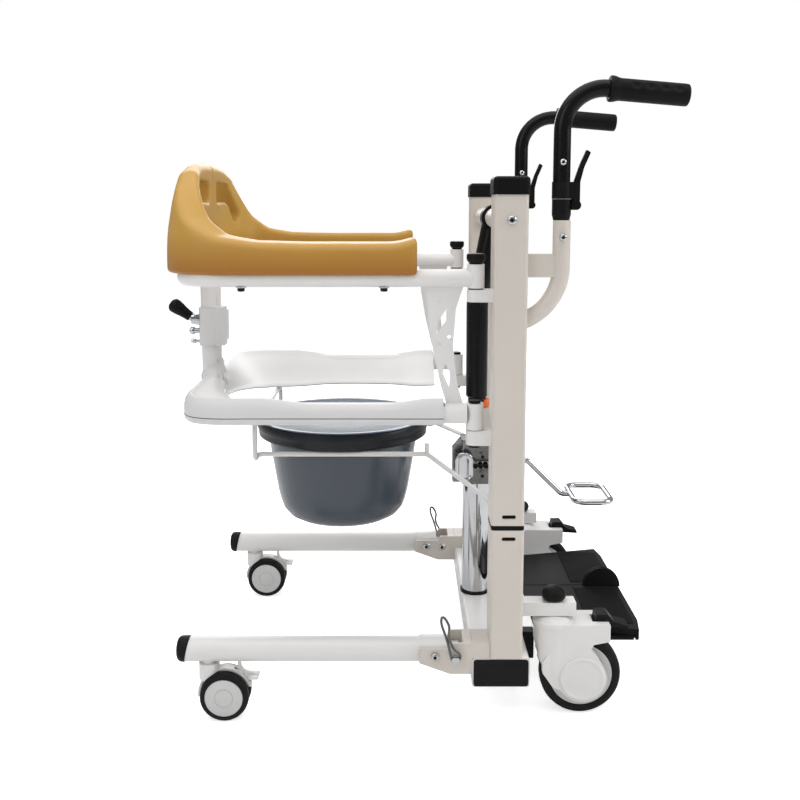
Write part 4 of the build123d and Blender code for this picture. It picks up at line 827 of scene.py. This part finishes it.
# %% Housing skirts
SKIRT_R, SKIRT_IN, SKIRT_TOP, SKIRT_STEP, SKIRT_END = 30.9, 18.3, 143.0, 8.0, 54.0
for label, side in SIDES:
    for place, way in (("outer", side), ("inner", -side)):
        rings = []
        for step in range(12):
            z = SKIRT_TOP - SKIRT_STEP * step
            rear = -SKIRT_END + 62.0 * max(0.0, min(1.0, (92.0 - z) / 36.0))
            ring = []
            for i in range(25):
                turn = radians(rear + (SKIRT_END - rear) * i / 24.0)
                y = side * STEM_Y + way * SKIRT_R * cos(turn)
                ring.append((STEM_X + SKIRT_R * sin(turn), y, z))
            for i in range(9):
                turn = radians(SKIRT_END + (rear - SKIRT_END) * i / 8.0)
                ring.append((STEM_X + SKIRT_R * sin(turn), side * STEM_Y + way * SKIRT_IN, z))
            rings.append(ring)
        skirt = loft(f"housing_skirt_{label}_{place}", rings, "caster_shell")
        seat(edge_shade(skirt, 40), f"big_caster_{label}", "caster_grey")
print("housing skirts down to Z", round(z, 1))

# %% [markdown]
# ## Push grips
# The grips are moulded rubber sleeves. They swell a little at the start, where
# they meet the tube, and they have four shallow finger dimples on the outer side.
# The sleeve is turned, and then the points near each dimple are pushed in.

# %% Push grips
LEG_Y = 244.0
GRIP_X, GRIP_FALL, GRIP_LENGTH = 292.0, 0.084, 117.2
DIMPLE_LONG, DIMPLE_WIDE, DIMPLE_DEEP = 8.5, 0.42, 2.3
grip_way = Vector((1.0, 0.0, -GRIP_FALL)).normalized()
sleeve = [(13.0, 0.6), (17.8, 0.0), (19.0, 1.2), (19.2, 4.0), (18.6, 8.0), (17.3, 12.0)]
sleeve += [(16.4, 16.0 + i * 3.0) for i in range(32)]
sleeve += [(16.2, GRIP_LENGTH - 3.4), (15.4, GRIP_LENGTH - 1.6), (13.6, GRIP_LENGTH - 0.5),
           (10.0, GRIP_LENGTH), (0, GRIP_LENGTH), (0, 60.0), (12.6, 60.0)]
for label, side in SIDES:
    start = Vector((GRIP_X, side * LEG_Y, 969.4 - GRIP_FALL * (GRIP_X - 225.5)))
    grip = turned(f"push_grip_{label}", [*sleeve, sleeve[0]], start, grip_way, "grip_rubber", 96)
    finger_side = Vector((0, side * 0.92, 0.39)).normalized()
    for vertex in grip.data.vertices:
        point = vertex.co / MM - start
        run = point.dot(grip_way)
        ring = point - grip_way * run
        if ring.length < 14.5:
            continue
        outward = acos(max(-1.0, min(1.0, ring.normalized().dot(finger_side))))
        for spot in (37.0, 58.0, 79.0, 98.0):
            away = hypot((run - spot) / DIMPLE_LONG, outward / DIMPLE_WIDE)
            if away < 1.0:
                vertex.co -= ring.normalized() * MM * DIMPLE_DEEP * (1 - away * away) ** 1.3
    seat(edge_shade(grip, 55), f"handle_{label}", "black_rubber", f"handle_grip_{label}")
print("grip length:", GRIP_LENGTH)

# %% [markdown]
# ## Leg ends
# Each leg is closed by a black domed plug. Its dome is a row of shrinking rings
# over the tube's end, and the plug's edge slants, since the tube is cut so.

# %% Leg plugs
PLUG_X, PLUG_R, PLUG_SLANT, LEG_Z = -358.9, 19.95, 4.2, 109.0
quarters = [radians(a) for a in range(10, 91, 10)]
plug_dome = [(0.0, 0.4), (0.0, 7.0), (0.2, 11.0)]
plug_dome += [(0.3 + 8.6 * (1 - cos(a)), 11.8 + 8.1 * sin(a)) for a in quarters]
for label, side in SIDES:
    rings = []
    for reach, radius in plug_dome + [(12.0, PLUG_R), (16.0, PLUG_R)]:
        ring = []
        for c, s in circle(48):
            x = PLUG_X + reach + PLUG_SLANT * s * max(0.0, (reach - 9.0) / 7.0)
            ring.append((x, side * LEG_Y + radius * c, LEG_Z + radius * s))
        rings.append(ring)
    plug = loft(f"leg_plug_{label}", rings, "black_moulding")
    seat(edge_shade(plug, 60), f"leg_{label}_body", "black_plastic")
    print(plug.name, "points:", len(plug.data.vertices))

# %% [markdown]
# A thin foot ring closes the line between the flared edge of each stem cap and
# the arm it stands on.

# %% Foot rings under the stem caps
foot = ((11.9, 0), (12.9, 0), (14.8, 2.4), (13.3, 2.4))
for label, side in SIDES:
    spun(f"cap_foot_{label}", foot, (STEM_X, side * STEM_Y, 180.0), UP, "black_moulding", 48,
         "base", "black_plastic")
print("foot rings:", len(SIDES))

# %% [markdown]
# ## Locking pins
# A wire loop pulls each leg's locking pin. Its two ends grip the pin's head, run
# close together as a shank and open into a narrow eye at the top.

# %% Pins with their pull loops


def wire(name, points, radius, finish_name):
    """Round wire through points in millimetres, kept as a mesh."""
    data = bpy.data.curves.new(name, "CURVE")
    data.dimensions = "3D"
    data.bevel_depth = radius * MM
    data.bevel_resolution = 4
    data.resolution_u = 6
    data.use_fill_caps = True
    spline = data.splines.new("NURBS")
    spline.points.add(len(points) - 1)
    for target, point in zip(spline.points, points):
        target.co = (*[v * MM for v in point], 1.0)
    spline.order_u = 4
    spline.use_endpoint_u = True
    obj = in_scene(bpy.data.objects.new(name, data))
    mesh = made_mesh(obj)
    bpy.data.objects.remove(obj)
    mesh.materials.clear()
    mesh.materials.append(finishes[finish_name])
    shade_smooth(mesh)
    return in_scene(bpy.data.objects.new(name, mesh))


PIVOT, PIN = (41.2, 108.5), (72.5, 106.4)
PULL_R = 1.9
pull = ((66.4, 277.4, 106.0), (64.6, 277.2, 113.5), (63.2, 276.4, 122.0), (59.6, 275.4, 135.0),
        (56.2, 274.4, 146.0), (52.0, 273.6, 156.0), (49.8, 273.0, 165.5), (51.2, 273.2, 173.2),
        (55.6, 274.2, 172.0), (60.6, 275.6, 164.2), (63.6, 277.0, 155.4), (60.6, 277.8, 146.0),
        (63.8, 278.8, 133.5), (70.0, 279.4, 123.0), (77.8, 279.2, 118.0), (80.6, 278.6, 112.0),
        (78.6, 277.6, 107.0))
pin_head = ((0, 262.0), (4.0, 262.0), (4.0, 273.5), (6.4, 273.8), (6.6, 274.6), (6.6, 280.6),
            (6.0, 281.6), (3.6, 282.3), (0, 282.4))
for label, side in SIDES:
    body = f"leg_pin_{label}_body"
    loop = wire(f"pin_loop_{label}", [(x, side * y, z) for x, y, z in pull], PULL_R, "dark_wire")
    seat(loop, body, "chrome", f"leg_pin_{label}")
    spun(f"pin_head_{label}", flipped(pin_head, side), (PIN[0], 0, PIN[1]), Y_WAY,
         "chrome_plate", 40, body, "chrome", crisp=35)
print("pin loops made")

# %% [markdown]
# ## Screws and bolts
# The screws are what catches the eye on white paint: a domed chrome head with a
# dark socket. One maker turns the head and its recess, and it is placed wherever
# a screw shows.

# %% Screw heads
dome = ((0, -0.6), (1, -0.6), (1.02, 0.2), (0.96, 1.0), (0.72, 1.9), (0.5, 2.2), (0.46, 2.1),
        (0.44, 0.9), (0, 0.8))
socket = ((0, 0.85), (0.43, 0.95), (0.43, 1.3), (0.3, 1.32), (0, 1.25))


def screw(name, at, way, size, body, finish_name="chrome_plate", slot_name="chrome"):
    """Domed screw head facing along way, with a dark six-sided socket."""
    head, hole = ([(size * r, h) for r, h in shape] for shape in (dome, socket))
    spun(f"{name}_head", head, at, way, finish_name, 32, body, slot_name, crisp=35)
    spun(f"{name}_socket", hole, at, way, "black_moulding", 6, body, "black_plastic", crisp=20)


arm_washer = ((0, 675.0), (7.6, 675.0), (8.2, 674.0), (7.8, 672.7), (0, 672.7))
arm_screw = ((0, 672.9), (5.4, 672.9), (5.5, 668.8), (4.8, 667.4), (3.0, 667.0), (2.6, 668.6),
             (0, 668.6))
knob_washer = ((8.0, 711.2), (11.6, 711.4), (12.0, 712.4), (11.6, 713.6), (8.0, 713.8))
end_plug = ((0, 50.0), (4.6, 50.0), (4.8, 53.4), (3.8, 54.6), (0, 54.8))
for label, side in SIDES:
    half, handle = f"seat_half_{label}", f"handle_{label}"
    for name, x, y, z, way, size, body in (
        ("column_bolt", 150, 274.6, 773.5, 1, 6.6, "lift_frame"),
        ("support_bolt", 227, 259.4, 748.0, 1, 5.4, "lift_frame"),
        ("support_bolt_in", 227, 228.6, 748.0, -1, 5.4, "lift_frame"),
        ("handle_bolt", 225.5, 256.6, 857.5, 1, 4.8, handle),
        ("handle_bolt_in", 225.5, 231.4, 857.5, -1, 4.8, handle),
        ("leg_bolt", PIVOT[0], 273.7, PIVOT[1], 1, 6.2, "base"),
    ):
        screw(f"{name}_{label}", (x, side * y, z), (0, way * side, 0), size, body)
    for place, x in (("rear", -249.5), ("front", -36.3)):
        at, tag = (x, side * LEG_Y, 0), f"{label}_{place}"
        spun(f"arm_washer_{tag}", arm_washer, at, UP, "chrome_plate", 32, half, "chrome")
        spun(f"arm_screw_{tag}", arm_screw, at, UP, "black_coat", 32, half, "black_plastic",
             crisp=40)
    spun(f"knob_washer_{label}", knob_washer, (100.4, side * LEG_Y, 0), UP, "chrome_plate", 40,
         "lift_frame", "chrome")
    spun(f"seat_end_plug_{label}", end_plug, (0, side * 250.0, 496.0), X_WAY, "black_moulding", 24,
         half, "black_plastic")
    for place, (x, z), y, size in (("pivot", PIVOT, 214.0, 7.6), ("pin", PIN, 218.0, 6.8)):
        screw(f"cheek_nut_{label}_{place}", (x, side * y, z), (0, -side, 0), size, "base")
print("screws placed")

# %% [markdown]
# ## Pump head
# The head is a casting with a bright oval cover plate on each side, held by dark
# bolts. The plate is a lofted rounded outline with a raised border.

# %% Pump head cover


def rounded(x0, x1, z0, z1, radius):
    """Outline of a rounded rectangle in the side view."""
    out = []
    for cx, cz, start in ((x1 - radius, z1 - radius, 0), (x0 + radius, z1 - radius, 90),
                          (x0 + radius, z0 + radius, 180), (x1 - radius, z0 + radius, 270)):
        for i in range(9):
            angle = radians(start + 90.0 * i / 8)
            out.append((cx + radius * cos(angle), cz + radius * sin(angle)))
    return out


head_low, head_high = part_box("pump_head")
plate_rings = ((0, -1.0), (0, 0.8), (1.0, 1.8), (2.6, 2.0), (3.8, 1.6), (4.4, 1.0), (8.0, 1.2))
head_bolts = (("a", 119, 344.5, 4.4), ("b", 128, 344.5, 4.4), ("c", 137, 344.5, 4.4),
              ("high", 131, 361, 3.0), ("mid", 131, 327, 3.0), ("low", 111, 312.5, 3.0))
for label, side in SIDES:
    face = (head_high[1] if side > 0 else -head_low[1]) * 1000.0
    rings = []
    for inset, out in plate_rings:
        shape = rounded(83.0 + inset, 115.0 - inset, 317.0 + inset, 368.0 - inset, 14.0 - inset)
        rings.append([(x, side * (face + out), z) for x, z in shape])
    cover = loft(f"head_plate_{label}", rings, "chrome_plate")
    seat(edge_shade(cover, 50), "base", "head_grey")
    for place, x, z, size in head_bolts:
        screw(f"head_bolt_{label}_{place}", (x, side * (face + 0.9), z), (0, side, 0), size, "base",
              "black_coat", "black_plastic")
print("pump head face at", round(face, 1))

# %% [markdown]
# ## Back latch
# The latch's lever is a black club-ended grip on a steel link. Two chrome cheeks
# hold its pivot, and two nuts close the pins below it.

# %% Latch lever, cheeks and nuts


def plate(name, outline, y_range, finish_name, body):
    """Flat bevelled plate between two y values from a side view outline."""
    obj = loft(name, [[(x, y, z) for x, z in outline] for y in y_range], finish_name)
    modified(obj, "BEVEL", width=0.8 * MM, segments=2, limit_method="ANGLE",
             angle_limit=radians(35.0))
    seat(edge_shade(obj, 40), body, "chrome")


LATCH_Y = -22.5
lean = (-0.809, 0.0, 0.588)
club = ((0, -1.0), (7.6, -1.0), (8.4, 0.5), (8.6, 6.0), (9.6, 14.0), (11.4, 23.0), (12.3, 30.0),
        (12.0, 35.0), (9.3, 38.4), (5.6, 40.5), (0, 41.1))
spun("latch_grip", club, (-374.0, LATCH_Y, 604.5), lean, "black_moulding", 48, "back_latch",
     "black_rubber", "latch_lever")
link = ((-360.5, 596.5), (-360.5, 604.5), (-374, 613.5), (-381, 604), (-372, 596.5))
plate("latch_link", link, (-27.0, -18.0), "zinc_steel", "back_latch")
cheek = ((-371, 593), (-371, 607), (-356, 609.8), (-356, 590.2))
for place, y in (("near", -29.0), ("far", -16.0)):
    plate(f"latch_cheek_{place}", cheek, (y - 2.5, y + 2.5), "chrome_plate", "seat_half_right")
nut = ((0, -375.2), (3.6, -375.2), (4.4, -374.4), (4.4, -372.6), (6.6, -372.4), (6.8, -371.6),
       (6.8, -367.8), (6.6, -367.0), (4.7, -366.8), (4.7, -358.6), (0, -358.6))
for place, z, grow, shift in (("high", 580.0, 1.0, 0.0), ("low", 562.0, 0.66, 2.0)):
    shape = [(r * grow, h + shift) for r, h in nut]
    spun(f"latch_nut_{place}", shape, (0, LATCH_Y, z), X_WAY, "chrome_plate", 24, "seat_half_right",
         "chrome", crisp=35)
print("latch pieces made")

# %% [markdown]
# ## Release knob and tread ribs
# The release clip ends in a rounded orange knob that a thumb can push. The front
# half of each footplate carries slanted ribs that stop a shoe from sliding.

# %% Release knob and footplate ribs
rings = []
for i in range(13):
    angle = radians(-90.0 + 15.0 * i)
    around = max(0.02, cos(angle)) ** 0.7
    y = -10.0 * sin(angle)
    wide, tall = 8.8 * around, 9.6 * around
    rings.append([(137.6 + wide * u, y, 448.5 + tall * v) for u, v in squircle(32, 0.8)])
seat(loft("release_knob", rings, "orange_moulding"), "lift_frame", "orange_clip", "release_clip")
PLATE_X, PLATE_FRONT, PLATE_Y, PLATE_TOP = 298.0, 371.0, 12.0, 113.9
TAB_X, TAB_R = 350.0, 36.0
rib_shape = ((-1.6, 0.0), (-0.7, 1.5), (0.7, 1.5), (1.6, 0.0))


def on_plate(x, y):
    """Says whether a point lies on the ribbed part of a footplate."""
    edge = 168.0 - max(0.0, x - TAB_X) * 0.2
    inside = PLATE_X <= x <= PLATE_FRONT and PLATE_Y <= y <= edge
    return inside and hypot(x - TAB_X, y) > TAB_R


for label, side in SIDES:
    points, faces = [], []
    for i in range(-22, 30):
        line = [(PLATE_X + t * 0.6, PLATE_Y + i * 7.0 + t * 1.1) for t in range(0, 180, 2)]
        line = [at for at in line if on_plate(*at)]
        if len(line) < 3:
            continue
        base, last = len(points), len(line) - 1
        for x, y in line:
            for across, up in rib_shape:
                points.append((x + across * 0.88, side * (y - across * 0.48), PLATE_TOP + up))
        for k in range(last):
            for m in range(4):
                a, b = base + 4 * k + m, base + 4 * k + (m + 1) % 4
                faces.append((a, b, b + 4, a + 4))
        faces += [tuple(range(end, end + 4)) for end in (base, base + 4 * last)]
    ribs = add_mesh(f"tread_ribs_{label}", points, faces, "plate_rubber", False)
    seat(ribs, f"footplate_{label}_body", "black_plastic")
    print(ribs.name, "points:", len(points))
